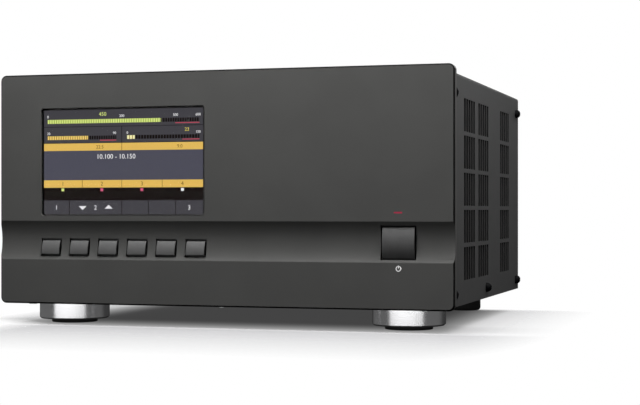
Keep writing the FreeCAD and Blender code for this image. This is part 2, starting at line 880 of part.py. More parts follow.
def front_board():
    plate = box("board_left", "board_front", "board_bottom", "board_right - board_left", "board_sheet",
                "board_top - board_bottom")
    holes = [rod("y", x, f"board_front - {PAST}", z, "cap_shank + shank_gap", f"board_sheet + {2 * PAST}")
             for x, z in STANDOFFS]
    keep(cut(plate, *holes), "front_board")
    for x, z in STANDOFFS:
        pillar = rod("y", x, "panel_thickness", z, "standoff_radius", "board_gap")
        head = rod("y", x, "board_back", z, "small_screw_head", "small_screw_height")
        shank = rod("y", x, "board_front", z, "cap_shank", "board_sheet + small_screw_height")
        standoffs.append(join(pillar, head, shank))
    chips = [
        centred("power_x", "board_front - led_height", "light_z", "led_width", "led_height", "led_depth"),
        centred("window_x", "board_back", "window_z", "processor_size", "chip_height", "processor_size"),
        centred("window_x + 2 * processor_size", "board_back", "window_z", "memory_length", "chip_height",
                "memory_width"),
        centred("window_x - 2 * processor_size", "board_back", "window_z", "memory_width", "chip_height",
                "memory_length"),
        rod("y", "board_can_x", "board_back", "window_z", "board_can_radius", "board_can_height"),
        rod("y", "board_can_x + 3 * board_can_radius", "board_back", "window_z", "board_can_radius",
            "board_can_height"),
        centred("ribbon_x", "board_back", "ribbon_z", "ribbon_width + plug_height / 2", "plug_depth",
                "plug_height"),
    ]
    keep(group(chips), "front_board_parts")


# ---- case: rails, tray, cover, rear panel and their screws ----

DOMES = [
    ("dome_front_y", "dome_low"),
    ("dome_front_y", "dome_high"),
    ("dome_middle_y", "dome_low"),
    ("dome_rear_y", "dome_low"),
    ("dome_rear_y", "dome_high"),
]
CAP_SCREWS = ["-rail_screw_x", "0", "rail_screw_x"]
FEET = [("-foot_x", "foot_y"), ("foot_x", "foot_y")]
REAR_FEET = [("-rear_foot_x", "rear_foot_y"), ("rear_foot_x", "rear_foot_y")]


def dome_holes():
    """Holes for the shanks, right across the case."""
    return [rod("x", f"-cover_half - {PAST}", y, z, "dome_shank + shank_gap", f"cover_width + {2 * PAST}")
            for y, z in DOMES]


def rails():
    low = box("-(inner_half - rail_width)", "panel_thickness", "tray_top", "2 * (inner_half - rail_width)",
              "rail_size", "rail_size")
    threads = [rod("z", x, "rail_screw_y", f"tray_top - {PAST}", "cap_shank + shank_gap",
                   f"cap_length + {2 * PAST}") for x in CAP_SCREWS]
    bars = []
    for x in ("-inner_half", "inner_half - rail_width"):
        bars.append(box(x, "panel_thickness", "tray_top", "rail_width", "rail_size",
                        "cover_inner_top - tray_top"))
    keep(group([cut(low, *threads), cut(group(bars), *dome_holes())]), "case_rails")


def chassis_tray():
    floor = box("-inner_half", "panel_thickness", "cover_bottom", "2 * inner_half",
                "rear_face - panel_thickness", "tray_sheet")
    walls = []
    for x in ("-inner_half", "inner_half - tray_sheet"):
        walls.append(box(x, "rail_back + tray_wall_gap", "cover_bottom", "tray_sheet",
                         "rear_face - rail_back - tray_wall_gap", "tray_flange"))
    holes = dome_holes()
    for x, y in FEET + REAR_FEET:
        holes.append(rod("z", x, y, f"cover_bottom - {PAST}", "foot_screw_shank + shank_gap",
                         f"tray_sheet + {2 * PAST}"))
    for x in CAP_SCREWS:
        holes.append(rod("z", x, "rail_screw_y", f"cover_bottom - {PAST}", "cap_shank + shank_gap",
                         f"tray_sheet + {2 * PAST}"))
    keep(cut(join(floor, *walls), *holes), "chassis_tray")


def panel_screws():
    screws = []
    for x in CAP_SCREWS:
        y = "rail_screw_y"
        head = rod("z", x, y, "cover_bottom - cap_head_height", "cap_head_radius", "cap_head_height")
        shank = rod("z", x, y, "cover_bottom", "cap_shank", "cap_length")
        socket = prism("z", x, y, f"cover_bottom - cap_head_height - {PAST}", "cap_socket",
                       f"cap_socket_depth + {PAST}")
        screws.append(cut(join(head, shank), socket))
    return screws


def top_cover():
    body = new_body("top_cover")
    section = sketch_on(body, "front", "panel_thickness")
    polygon(section, [
        ("-cover_half", "cover_bottom"),
        ("-inner_half", "cover_bottom"),
        ("-inner_half", "cover_inner_top"),
        ("inner_half", "cover_inner_top"),
        ("inner_half", "cover_bottom"),
        ("cover_half", "cover_bottom"),
        ("cover_half", "cover_top"),
        ("-cover_half", "cover_top"),
    ])
    shell = pad(body, section, "case_depth - panel_thickness")
    high = value("cover_top")
    bends = edges_where(shell, lambda edge, middle: along(edge, "y") and abs(middle.z - high) < CLOSE)
    dress(body, "Fillet", shell, bends, "Radius", "cover_bend")

    slots = sketch_on(body, "side")
    spare = "(vent_slots - 1) / 2"
    for middle in ("vent_first_y", "vent_second_y", "vent_third_y"):
        for number in range(int(value("vent_slots"))):
            rectangle(slots, f"{middle} + ({number} - {spare}) * vent_slot_pitch",
                      "floor_gap + vent_row_rise", "vent_slot_width", "vent_row_height")
    lowest = pocket(body, slots, f"cover_width + {2 * PAST}", both=True)
    row_of(body, lowest, slots, "V_Axis", "vent_rows", "vent_row_pitch")

    holes = sketch_on(body, "side")
    for y, z in DOMES:
        circle(holes, y, z, "dome_shank + shank_gap")
    pocket(body, holes, f"cover_width + {2 * PAST}", both=True)
    keep(body, "top_cover")


def dome(x, y, z, outward, height="dome_height", flat="dome_socket_depth"):
    """A dome-headed screw; outward is 1 or -1 along X."""
    bulge = f"(dome_radius * dome_radius + {height} * {height}) / (2 * {height})"
    ball = doc.addObject("Part::Sphere", "ball")
    bind(ball, "Radius", bulge)
    put(ball, f"{x} + {outward} * ({height} - ({bulge}))", y, z)
    start = x if outward > 0 else f"{x} - {height}"
    blank = rod("x", start, y, z, "dome_radius", height)
    head = common(blank, ball)
    shank = rod("x", x if outward < 0 else f"{x} - dome_length", y, z, "dome_shank", "dome_length")
    key_start = f"{x} + {height} - {flat}" if outward > 0 else f"{x} - {height} - {PAST}"
    recess = prism("x", key_start, y, z, "dome_socket", f"{flat} + {PAST}")
    return cut(join(head, shank), recess)


def cover_screws():
    screws = []
    for y, z in DOMES:
        low_head = ("dome_front_height", "dome_front_socket_depth") if y == "dome_front_y" else ()
        screws.append(dome("-cover_half", y, z, -1, *low_head))
        screws.append(dome("cover_half", y, z, 1, *low_head))
    keep(group(screws), "cover_screws")


def fan_places():
    """The two fans' middles, and the four screws about each."""
    places = []
    for x in ("fan_left_x", "fan_right_x"):
        corners = [(f"{x} {side} fan_hole_pitch / 2", f"fan_z {end} fan_hole_pitch / 2")
                   for side in ("-", "+") for end in ("-", "+")]
        places.append((x, corners))
    return places


def socket_corners(x):
    return [(f"{x} {side} socket_hole_pitch / 2", f"socket_z {end} socket_hole_pitch / 2")
            for side in ("-", "+") for end in ("-", "+")]


def rear_panel():
    body = new_body("rear_panel")
    high = "cover_inner_top - fit_gap"
    half = "inner_half - fit_gap"
    outline = sketch_on(body, "front", "rear_inner")
    polygon(outline, [(f"-({half})", "tray_top"), (half, "tray_top"), (half, high), (f"-({half})", high)])
    pad(body, outline, "rear_sheet")
    low = "cover_bottom + tray_flange + rear_flange_gap"
    for side in ("-", "+"):
        wall = sketch_on(body, "front", "rear_inner")
        outer = f"0 {side} ({half})"
        inner = f"0 {side} ({half} - rear_sheet)"
        polygon(wall, [(outer, low), (inner, low), (inner, high), (outer, high)])
        pad(body, wall, "rear_flange", forward=False)

    notch = sketch_on(body, "front", "rear_inner")
    for side in ("-", "+"):
        outer = f"0 {side} (inner_half + {PAST})"
        inner = f"0 {side} (inner_half - tray_sheet - fit_gap)"
        top = "cover_bottom + tray_flange + fit_gap"
        low = f"tray_top - {PAST}"
        polygon(notch, [(outer, low), (inner, low), (inner, top), (outer, top)])
    pocket(body, notch, "rear_sheet")

    cuts = sketch_on(body, "front", "rear_inner")
    for x, corners in fan_places():
        circle(cuts, x, "fan_z", "fan_bore")
        for across, up in corners:
            circle(cuts, across, up, "fan_hole")
    for x in ("antenna_x", "input_x"):
        circle(cuts, x, "socket_z", "socket_body + fit_gap")
        for across, up in socket_corners(x):
            circle(cuts, across, up, "cap_shank + shank_gap")
    circle(cuts, "earth_x", "earth_z", "earth_radius + fit_gap")
    rectangle(cuts, "inlet_x", "inlet_z", "inlet_body_width + 2 * fit_gap",
              "inlet_body_height + 2 * fit_gap")
    rectangle(cuts, "rocker_x", "inlet_z", "rocker_case_width + 2 * fit_gap",
              "rocker_case_height + 2 * fit_gap")
    rectangle(cuts, "data_x", "data_z", "data_shell_width + 2 * fit_gap", "data_shell_height + 2 * fit_gap")
    for side in ("-", "+"):
        circle(cuts, f"data_x {side} data_post_pitch / 2", "data_z", "cap_shank + shank_gap")
    rectangle(cuts, "network_x", "data_z", "network_width + 2 * fit_gap", "network_height + 2 * fit_gap")
    for x in ("jack_x", "jack_x - jack_pitch"):
        circle(cuts, x, "jack_z", "jack_radius + fit_gap")
    pocket(body, cuts, "rear_sheet")

    holes = sketch_on(body, "side")
    circle(holes, "dome_rear_y", "dome_high", "dome_shank + shank_gap")
    pocket(body, holes, f"cover_width + {2 * PAST}", both=True)
    keep(body, "rear_panel")


# ---- feet ----

def front_feet():
    for (x, y), side in zip(FEET, ("left", "right")):
        body = doc.addObject("PartDesign::Body", "front_foot")
        bind(body, "Placement.Base.x", x)
        bind(body, "Placement.Base.y", f"front_face_y + ({y})")
        bind(body, "Placement.Base.z", "pad_height")
        round_one = sketch_on(body, "floor")
        circle(round_one, "0", "0", "foot_radius")
        disc = pad(body, round_one, "cover_bottom - pad_height")
        lower = edges_where(disc, lambda edge, middle: middle.z < CLOSE)
        dress(body, "Chamfer", disc, lower, "Size", "foot_chamfer")
        well = sketch_on(body, "floor")
        circle(well, "0", "0", "foot_screw_head + foot_well_gap")
        pocket(body, well, "foot_head_depth")
        hole = sketch_on(body, "floor")
        circle(hole, "0", "0", "foot_screw_shank + shank_gap")
        pocket(body, hole, "cover_bottom")
        keep(body, "front_foot_" + side)
    keep(group([rod("z", x, y, "0", "pad_radius", "pad_height") for x, y in FEET]), "front_foot_pads")


def rear_feet():
    feet = []
    for x, y in REAR_FEET:
        body = doc.addObject("PartDesign::Body", "rear_foot")
        bind(body, "Placement.Base.x", x)
        bind(body, "Placement.Base.y", f"front_face_y + ({y})")
        round_one = sketch_on(body, "floor")
        circle(round_one, "0", "0", "rear_foot_radius")
        disc = pad(body, round_one, "cover_bottom")
        lower = edges_where(disc, lambda edge, middle: middle.z < CLOSE)
        dress(body, "Fillet", disc, lower, "Radius", "rear_foot_round")
        well = sketch_on(body, "floor")
        circle(well, "0", "0", "foot_screw_head + foot_well_gap")
        pocket(body, well, "pad_height + foot_head_depth")
        hole = sketch_on(body, "floor")
        circle(hole, "0", "0", "foot_screw_shank + shank_gap")
        pocket(body, hole, f"cover_bottom + {PAST}")
        feet.append(body)
    keep(group(feet), "rear_feet")


def foot_screws():
    pieces = []
    head_top = "pad_height + foot_head_depth"
    for x, y in FEET + REAR_FEET:
        head = rod("z", x, y, f"{head_top} - foot_screw_height", "foot_screw_head", "foot_screw_height")
        shank = rod("z", x, y, head_top, "foot_screw_shank",
                    f"tray_top + foot_nut_height + foot_screw_end - ({head_top})")
        pieces.append(join(head, shank))
        nut = prism("z", x, y, "tray_top", "foot_nut_size", "foot_nut_height")
        bore = rod("z", x, y, f"tray_top - {PAST}", "foot_screw_shank + shank_gap",
                   f"foot_nut_height + {2 * PAST}")
        pieces.append(cut(nut, bore))
    keep(group(pieces), "foot_screws")


# ---- heat sink and amplifier module ----

def heat_sink():
    """A base plate on the two walls of the air duct, with thin fins bonded under it."""
    base = box("sink_left", "sink_y", "sink_top - sink_base", "sink_width", "sink_length", "sink_base")
    walls = [box(x, "sink_y", "tray_top", "sink_wall", "sink_length", "sink_height - sink_base")
             for x in ("sink_left", "sink_left + sink_width - sink_wall")]
    fins = []
    for number in range(1, int(value("fin_count")) + 1):
        x = f"sink_left + sink_wall / 2 + {number} * fin_pitch - fin_sheet / 2"
        fins.append(box(x, "sink_y", "sink_top - sink_base - fin_height", "fin_sheet", "sink_length",
                        "fin_height"))
    keep(group([base, *walls, *fins]), "heat_sink")


def amplifier_module():
    board = box("module_x", "module_y", "sink_top", "module_width", "module_length", "board_sheet")
    places = [f"sink_x {side} transistor_spacing / 2" for side in ("-", "+")]
    holes = []
    parts = []
    for x in places:
        holes.append(box(f"{x} - transistor_width / 2 - fit_gap",
                         "transistor_y - transistor_depth / 2 - fit_gap", f"sink_top - {PAST}",
                         "transistor_width + 2 * fit_gap", "transistor_depth + 2 * fit_gap",
                         f"board_sheet + {2 * PAST}"))
        flange = box(f"{x} - transistor_width / 2", "transistor_y - transistor_depth / 2", "sink_top",
                     "transistor_width", "transistor_depth", "transistor_flange")
        cap = box(f"{x} - transistor_cap_width / 2",
                  "transistor_y - transistor_depth / 2 + transistor_cap_inset",
                  "sink_top + transistor_flange", "transistor_cap_width",
                  "transistor_depth - 2 * transistor_cap_inset", "transistor_height - transistor_flange")
        parts.append(join(flange, cap))
    keep(cut(board, *holes), "amplifier_board")
    keep(group(parts), "power_transistors")

    cores = []
    tubes = []
    for y, scale in (("module_y + module_length - core_depth - core_back_inset", "1"),
                     ("module_y + core_front_inset", "small_core")):
        width = f"core_width * {scale}"
        depth = f"core_depth * {scale}"
        height = f"core_height * {scale}"
        block = box(f"sink_x - {width} / 2", y, "module_top + core_tube_out", width, depth, height)
        bores = []
        for side in ("-", "+"):
            x = f"sink_x {side} {width} / 4"
            z = f"module_top + core_tube_out + {height} / 2"
            bores.append(rod("y", x, f"{y} - {PAST}", z, f"core_bore * {scale}", f"{depth} + {2 * PAST}"))
            outer = rod("y", x, f"{y} - core_tube_out", z, f"core_tube * {scale}",
                        f"{depth} + 2 * core_tube_out")
            inner = rod("y", x, f"{y} - core_tube_out - {PAST}", z, f"core_tube_bore * {scale}",
                        f"{depth} + 2 * core_tube_out + {2 * PAST}")
            tubes.append(cut(outer, inner))
        cores.append(cut(block, *bores))
        for end in (f"{y} - core_tube_out - core_plate", f"{y} + {depth} + core_tube_out"):
            plate = box(f"sink_x - {width} / 2", end, "module_top", width, "core_plate",
                        f"{height} + core_tube_out")
            tubes.append(plate)
    keep(group(cores), "transformer_cores")
    keep(group(tubes), "transformer_tubes")


# ---- filter board on its bridge ----

def filter_unit():
    top = box("bridge_left", "bridge_y", "bridge_top - bridge_sheet", "bridge_width", "bridge_length",
              "bridge_sheet")
    legs = [box(x, "bridge_y", "tray_top", "bridge_sheet", "bridge_length", "bridge_height")
            for x in ("bridge_left", "bridge_left + bridge_width - bridge_sheet")]
    keep(join(top, *legs), "filter_bridge")

    left = "bridge_left + filter_inset"
    front = "bridge_y + filter_inset"
    board = box(left, front, "filter_bottom", "filter_width", "filter_length", "board_sheet")
    spots = [(x, y) for x in (f"{left} + hole_inset", f"{left} + filter_width - hole_inset")
             for y in (f"{front} + hole_inset", f"{front} + filter_length / 2",
                       f"{front} + filter_length - hole_inset")]
    holes = [rod("z", x, y, f"filter_bottom - {PAST}", "cap_shank + shank_gap", f"board_sheet + {2 * PAST}")
             for x, y in spots]
    keep(cut(board, *holes), "filter_board")
    for x, y in spots:
        post = rod("z", x, y, "bridge_top", "standoff_radius", "filter_gap")
        shank = rod("z", x, y, "filter_bottom", "cap_shank", "board_sheet + small_screw_height")
        head = rod("z", x, y, "filter_top", "small_screw_head", "small_screw_height")
        standoffs.append(join(post, shank, head))

    coils = []
    relays = []
    for row in range(int(value("coil_rows"))):
        y = f"{front} + coil_start + {row} * coil_pitch_y"
        for column in range(int(value("coil_columns"))):
            x = f"bridge_x + ({column} - (coil_columns - 1) / 2) * coil_pitch_x"
            ring = doc.addObject("Part::Torus", "ring")
            ring.Placement = FreeCAD.Placement(FreeCAD.Vector(), TURNS["y"])
            bind(ring, "Radius1", "coil_radius - coil_thickness")
            bind(ring, "Radius2", "coil_thickness")
            put(ring, x, y, "filter_top + coil_radius")
            coils.append(ring)
        for x in ("bridge_x - coil_pitch_x / 2", "bridge_x + coil_pitch_x / 2"):
            relays.append(box(f"{x} - relay_length / 2", f"{y} + coil_pitch_y / 2 - relay_width / 2",
                              "filter_top", "relay_length", "relay_width", "relay_height"))
    keep(group(coils), "filter_coils")
    keep(group(relays), "filter_relays")


# ---- power supply ----

def power_supply():
    floor = box("supply_left", "supply_y", "tray_top", "supply_width", "supply_length", "supply_sheet")
    walls = [box(x, "supply_y", "tray_top", "supply_sheet", "supply_length", "supply_wall")
             for x in ("supply_left", "supply_left + supply_width - supply_sheet")]
    keep(join(floor, *walls), "supply_tray")
    board = box("supply_left + supply_board_inset", "supply_y + supply_board_inset", "supply_board_bottom",
                "supply_width - 2 * supply_board_inset", "supply_length - 2 * supply_board_inset",
                "board_sheet")
    posts = [rod("z", x, y, "supply_floor", "standoff_radius", "supply_gap")
             for x in ("supply_left + supply_post_inset", "supply_left + supply_width - supply_post_inset")
             for y in ("supply_y + supply_post_inset", "supply_y + supply_length - supply_post_inset")]
    keep(join(board, *posts), "supply_board")
    blocks = []
    for y in ("supply_y + choke_inset", "supply_y + choke_inset + choke_pitch"):
        x = "supply_left + choke_inset"
        core = box(x, y, "supply_board_top", "choke_size", "choke_size", "choke_height")
        blocks.append(core)
    keep(group(blocks), "supply_transformers")
    cans = []
    for row in range(int(value("can_count"))):
        y = f"supply_y + can_start + {row} * can_pitch"
        cans.append(rod("z", "supply_left + supply_width - 2 * can_radius", y, "supply_board_top",
                        "can_radius", "can_height"))
    for x in ("supply_left + can_inset", "supply_left + can_inset + can_pitch"):
        y = "supply_y + supply_length - can_end"
        cans.append(rod("z", x, y, "supply_board_top", "can_radius", "can_height"))
    keep(group(cans), "supply_capacitors")


# ---- fans ----

def fan_frames():
    for (x, corners), side in zip(fan_places(), ("left", "right")):
        block = centred(x, "fan_front", "fan_z", "fan_size", "fan_depth", "fan_size")
        bore = rod("y", x, f"fan_front - {PAST}", "fan_z", "fan_bore", f"fan_depth + {2 * PAST}")
        holes = [rod("y", across, f"fan_front - {PAST}", up, "fan_hole", f"fan_depth + {2 * PAST}")
                 for across, up in corners]
        ring = cut(block, bore, *holes)
        plate = rod("y", x, "fan_plate", "fan_z", "fan_hub", "fan_hub_plate")
        reach = f"fan_bore + {PAST}"
        struts = [
            box(f"{x} - ({reach})", "fan_plate", "fan_z - fan_strut / 2", f"2 * ({reach})", "fan_hub_plate",
                "fan_strut"),
            box(f"{x} - fan_strut / 2", "fan_plate", f"fan_z - ({reach})", "fan_strut", "fan_hub_plate",
                f"2 * ({reach})"),
        ]
        bearing = rod("y", x, f"fan_plate - {PAST}", "fan_z", "fan_shaft + bearing_gap",
                      f"fan_hub_plate + {2 * PAST}")
        keep(cut(join(ring, plate, *struts), bearing), "fan_frame_" + side)


def fan_rotors():
    for (x, corners), side in zip(fan_places(), ("left", "right")):
        body = doc.addObject("PartDesign::Body", "fan_rotor")
        bind(body, "Placement.Base.x", x)
        bind(body, "Placement.Base.y", "front_face_y + fan_plate - rotor_gap - fan_blade_reach")
        bind(body, "Placement.Base.z", "fan_z")
        hub = sketch_on(body, "front", "-fan_blade_reach")
        circle(hub, "0", "0", "fan_hub")
        pad(body, hub, "2 * fan_blade_reach")
        shaft = sketch_on(body, "front", "0")
        circle(shaft, "0", "0", "fan_shaft")
        pad(body, shaft, "fan_blade_reach + rotor_gap + fan_hub_plate")
        blade = sketch_on(body, "floor")
        half = "fan_blade_sheet / 2"
        polygon(blade, [
            (f"-fan_blade_lean - {half}", "-fan_blade_reach"),
            (f"-fan_blade_lean + {half}", "-fan_blade_reach"),
            (f"fan_blade_lean + {half}", "fan_blade_reach"),
            (f"fan_blade_lean - {half}", "fan_blade_reach"),
        ])
        first = pad(body, blade, "fan_tip")
        wheel = body.newObject("PartDesign::PolarPattern", "wheel")
        wheel.Originals = [first]
        wheel.Axis = (hub, ["N_Axis"])
        wheel.Angle = 360
        bind(wheel, "Occurrences", "fan_blades")
        body.Tip = wheel
        doc.recompute()
        keep(body, "fan_rotor_" + side)


def fan_guards():
    guards = []
    thick = "2 * guard_wire"
    for x, corners in fan_places():
        wires = []
        for number in range(1, int(value("guard_rings")) + 1):
            outer = rod("y", x, "rear_face", "fan_z", f"guard_pitch * {number} + guard_wire", thick)
            inner = rod("y", x, f"rear_face - {PAST}", "fan_z", f"guard_pitch * {number} - guard_wire",
                        f"{thick} + {2 * PAST}")
            wires.append(cut(outer, inner))
        for lean in (45, -45):
            bar = doc.addObject("Part::Box", "bar")
            turn = FreeCAD.Rotation(FreeCAD.Vector(0, 1, 0), lean)
            bar.Placement = FreeCAD.Placement(FreeCAD.Vector(), turn)
            reach = "fan_hole_pitch / 2 * sqrt(2)"
            skew = f"cos({lean}) * {reach} + sin({lean}) * guard_wire"
            lift = f"sin({lean}) * {reach} - cos({lean}) * guard_wire"
            put(bar, f"{x} - ({skew})", "rear_face", f"fan_z + ({lift})")
            bind(bar, "Length", f"2 * {reach}")
            bind(bar, "Width", thick)
            bind(bar, "Height", thick)
            wires.append(bar)
        holes = []
        for across, up in corners:
            wires.append(rod("y", across, "rear_face", up, "fan_hole + guard_eye", thick))
            holes.append(rod("y", across, f"rear_face - {PAST}", up, "fan_hole", f"{thick} + {2 * PAST}"))
        guards.append(cut(join(*wires), *holes))
    keep(group(guards), "fan_guards")


# ---- rear sockets ----

def radio_sockets():
    cores = []
    for x, label in (("antenna_x", "antenna_socket"), ("input_x", "input_socket")):
        flange = centred(x, "rear_face", "socket_z", "socket_flange", "socket_flange_sheet", "socket_flange")
        barrel = rod("y", x, "rear_face", "socket_z", "socket_radius", "socket_reach")
        inner = rod("y", x, "rear_face - socket_body_length", "socket_z", "socket_body",
                    "socket_body_length")
        bore = rod("y", x, f"rear_face - socket_body_length - {PAST}", "socket_z", "socket_bore",
                   f"socket_reach + socket_body_length + {2 * PAST}")
        holes = [rod("y", across, f"rear_face - {PAST}", up, "cap_shank + shank_gap",
                     f"socket_flange_sheet + {2 * PAST}") for across, up in socket_corners(x)]
        keep(cut(join(flange, barrel, inner), bore, *holes), label)
        plug = rod("y", x, "rear_face - socket_body_length", "socket_z", "socket_core",
                   "socket_body_length + socket_flange_sheet")
        contact = rod("y", x, "rear_face - socket_body_length - socket_tail", "socket_z",
                      "socket_contact + socket_contact_wall",
                      "socket_body_length + socket_tail + socket_reach - socket_lip")
        well = rod("y", x, "rear_face + socket_reach - socket_lip - socket_contact_depth", "socket_z",
                   "socket_contact", f"socket_contact_depth + {PAST}")
        cores.append(cut(join(plug, contact), well))
    keep(group(cores), "socket_cores")


def earth_terminal():
    stud = rod("y", "earth_x", "rear_inner - earth_inside", "earth_z", "earth_radius",
               "earth_inside + rear_sheet + earth_length")
    inner = prism("y", "earth_x", "rear_inner - earth_nut_height", "earth_z", "earth_nut_size",
                  "earth_nut_height")
    outer = prism("y", "earth_x", "rear_face", "earth_z", "earth_nut_size", "earth_nut_height")
    keep(join(stud, inner, outer), "earth_stud")
    start = "rear_face + earth_nut_height + wing_gap"
    hub = rod("y", "earth_x", start, "earth_z", "wing_hub", "wing_hub_length")
    wings = box("earth_x - wing_span / 2", f"{start} + wing_root", "earth_z - wing_sheet / 2", "wing_span",
                "wing_height", "wing_sheet")
    middle = rod("y", "earth_x", f"{start} + wing_hub_length", "earth_z", "wing_hub + wing_notch",
                 "wing_height")
    bore = rod("y", "earth_x", f"{start} - {PAST}", "earth_z", "wing_bore", f"wing_hub_length + {2 * PAST}")
    keep(cut(join(hub, wings), middle, bore), "wing_nut")


def mains_inlet():
    flange = centred("inlet_x", "rear_face", "inlet_z", "inlet_width", "inlet_flange", "inlet_height")
    housing = centred("inlet_x", "rear_face - inlet_body_depth", "inlet_z", "inlet_body_width",
                      "inlet_body_depth", "inlet_body_height")
    mouth = "rear_face + inlet_flange"
    upper = "inlet_z + inlet_socket_lift"
    lower = "inlet_z - drawer_drop"
    cavity = centred("inlet_x", f"{mouth} - inlet_socket_depth", upper, "inlet_socket_width",
                     f"inlet_socket_depth + {PAST}", "inlet_socket_height")
    chute = centred("inlet_x", f"{mouth} - drawer_length - drawer_end_gap", lower,
                    "drawer_width + 2 * drawer_gap", f"drawer_length + drawer_end_gap + {PAST}",
                    "drawer_height + 2 * drawer_gap")
    shell = cut(join(flange, housing), cavity, chute)
    blades = []
    for x, z in (("inlet_x - inlet_blade_pitch", upper), ("inlet_x", f"{upper} - inlet_earth_drop"),
                 ("inlet_x + inlet_blade_pitch", upper)):
        blades.append(centred(x, f"{mouth} - inlet_socket_depth - inlet_blade_root", z, "inlet_blade_width",
                              "inlet_blade_length + inlet_blade_root", "inlet_blade_height"))
    keep(join(shell, *blades), "mains_inlet")
    drawer = centred("inlet_x", f"{mouth} - drawer_length", lower, "drawer_width",
                     "drawer_length + drawer_proud", "drawer_height")
    fuse = rod("x", "inlet_x - fuse_length / 2", f"{mouth} - drawer_length + fuse_inset", lower,
               "fuse_radius", "fuse_length")
    keep(cut(drawer, fuse), "fuse_drawer")


# The rocker from the side, in shares of its radius: how far out, and how far up.
ROCKER_OUTLINE = [(0.40, 0), (0.52, 0.84), (0.10, 0.98), (-0.55, 0.70), (-0.55, -0.70), (0.10, -0.98),
                  (0.52, -0.84)]


def mains_switch():
    case_depth_in = "rocker_radius + rocker_gap + rocker_wall"
    flange = centred("rocker_x", "rear_face", "inlet_z", "rocker_case_width + 2 * rocker_lip",
                     "rocker_flange", "rocker_case_height + 2 * rocker_lip")
    housing = centred("rocker_x", f"rear_face - ({case_depth_in})", "inlet_z", "rocker_case_width",
                      case_depth_in, "rocker_case_height")
    well = rod("x", "rocker_x - rocker_width / 2 - rocker_gap", "rear_face", "inlet_z",
               "rocker_radius + rocker_gap", "rocker_width + 2 * rocker_gap")
    keep(cut(join(flange, housing), well), "mains_switch")
    body = doc.addObject("PartDesign::Body", "mains_rocker")
    tilt = FreeCAD.Rotation(FreeCAD.Vector(1, 0, 0), value("rocker_tilt"))
    body.Placement = FreeCAD.Placement(FreeCAD.Vector(), tilt)
    bind(body, "Placement.Rotation.Angle", "rocker_tilt")
    put(body, "rocker_x", "rear_face", "inlet_z")
    section = sketch_on(body, "side")
    polygon(section, [(f"rocker_radius * {out}", f"rocker_radius * {up}") for out, up in ROCKER_OUTLINE])
    pad(body, section, "rocker_width", both=True)
    keep(body, "mains_rocker")


def small_sockets():
    flange = centred("data_x", "rear_face", "data_z", "data_width", "data_flange", "data_height")
    shell = centred("data_x", "rear_inner - data_inside", "data_z", "data_shell_width",
                    "data_inside + rear_sheet + data_reach", "data_shell_height")
    posts = [prism("y", f"data_x {side} data_post_pitch / 2", "rear_face", "data_z", "data_post",
                   "data_post_length") for side in ("-", "+")]
    keep(join(flange, shell, *posts), "data_socket")

    case = centred("network_x", "rear_face - network_depth", "data_z", "network_width",
                   "network_depth + network_proud", "network_height")
    mouth = centred("network_x", "rear_face + network_proud - network_mouth_depth", "data_z",
                    "network_mouth_width", f"network_mouth_depth + {PAST}", "network_mouth_height")
    keep(cut(case, mouth), "network_socket")

    jacks = []
    for x in ("jack_x", "jack_x - jack_pitch"):
        ring = rod("y", x, "rear_face", "jack_z", "jack_flange", "jack_flange_sheet")
        barrel = rod("y", x, "rear_inner - jack_inside", "jack_z", "jack_radius",
                     "jack_inside + rear_sheet + jack_length")
        nut = prism("y", x, "rear_inner - jack_nut", "jack_z", "jack_flange", "jack_nut")
        bore = rod("y", x, "rear_face + jack_length - jack_bore_depth", "jack_z", "jack_bore",
                   f"jack_bore_depth + {PAST}")
        jacks.append(cut(join(ring, barrel, nut), bore))
    keep(group(jacks), "keying_jacks")


def case_screws():
    screws = panel_screws()
    for x, corners in fan_places():
        for across, up in corners:
            head = rod("y", across, "rear_face + 2 * guard_wire", up, "fan_screw_head", "fan_screw_height")
            shank = rod("y", across, "rear_inner - fan_screw_inside", up, "fan_hole - shank_gap",
                        "fan_screw_inside + rear_sheet + 2 * guard_wire")
            screws.append(join(head, shank))
    for x in ("antenna_x", "input_x"):
        for across, up in socket_corners(x):
            head = rod("y", across, "rear_face + socket_flange_sheet", up, "small_screw_head",
                       "small_screw_height")
            shank = rod("y", across, "rear_inner - socket_screw_inside", up, "cap_shank",
                        "socket_screw_inside + rear_sheet + socket_flange_sheet")
            screws.append(join(head, shank))
    keep(group(screws), "case_screws")


# ---- internal leads ----

def lead(route, radius, bend):
    """A round lead along straight runs joined by tangent arcs."""
    edges = []
    start = route[0]
    for before, corner, after in zip(route, route[1:], route[2:]):
        inward = (before - corner).normalize()
        outward = (after - corner).normalize()
        half_turn = (math.pi - inward.getAngle(outward)) / 2
        reach = bend * math.tan(half_turn)
        one = corner + inward * reach
        two = corner + outward * reach
        middle = corner + (inward + outward).normalize() * (math.hypot(reach, bend) - bend)
        edges.append(Part.LineSegment(start, one).toShape())
        edges.append(Part.Arc(one, middle, two).toShape())
        start = two
    edges.append(Part.LineSegment(start, route[-1]).toShape())
    path = Part.Wire(edges)
    ring = Part.Wire([Part.Circle(route[0], route[1] - route[0], radius).toShape()])
    return path.makePipeShell([ring], True, True), path.Length


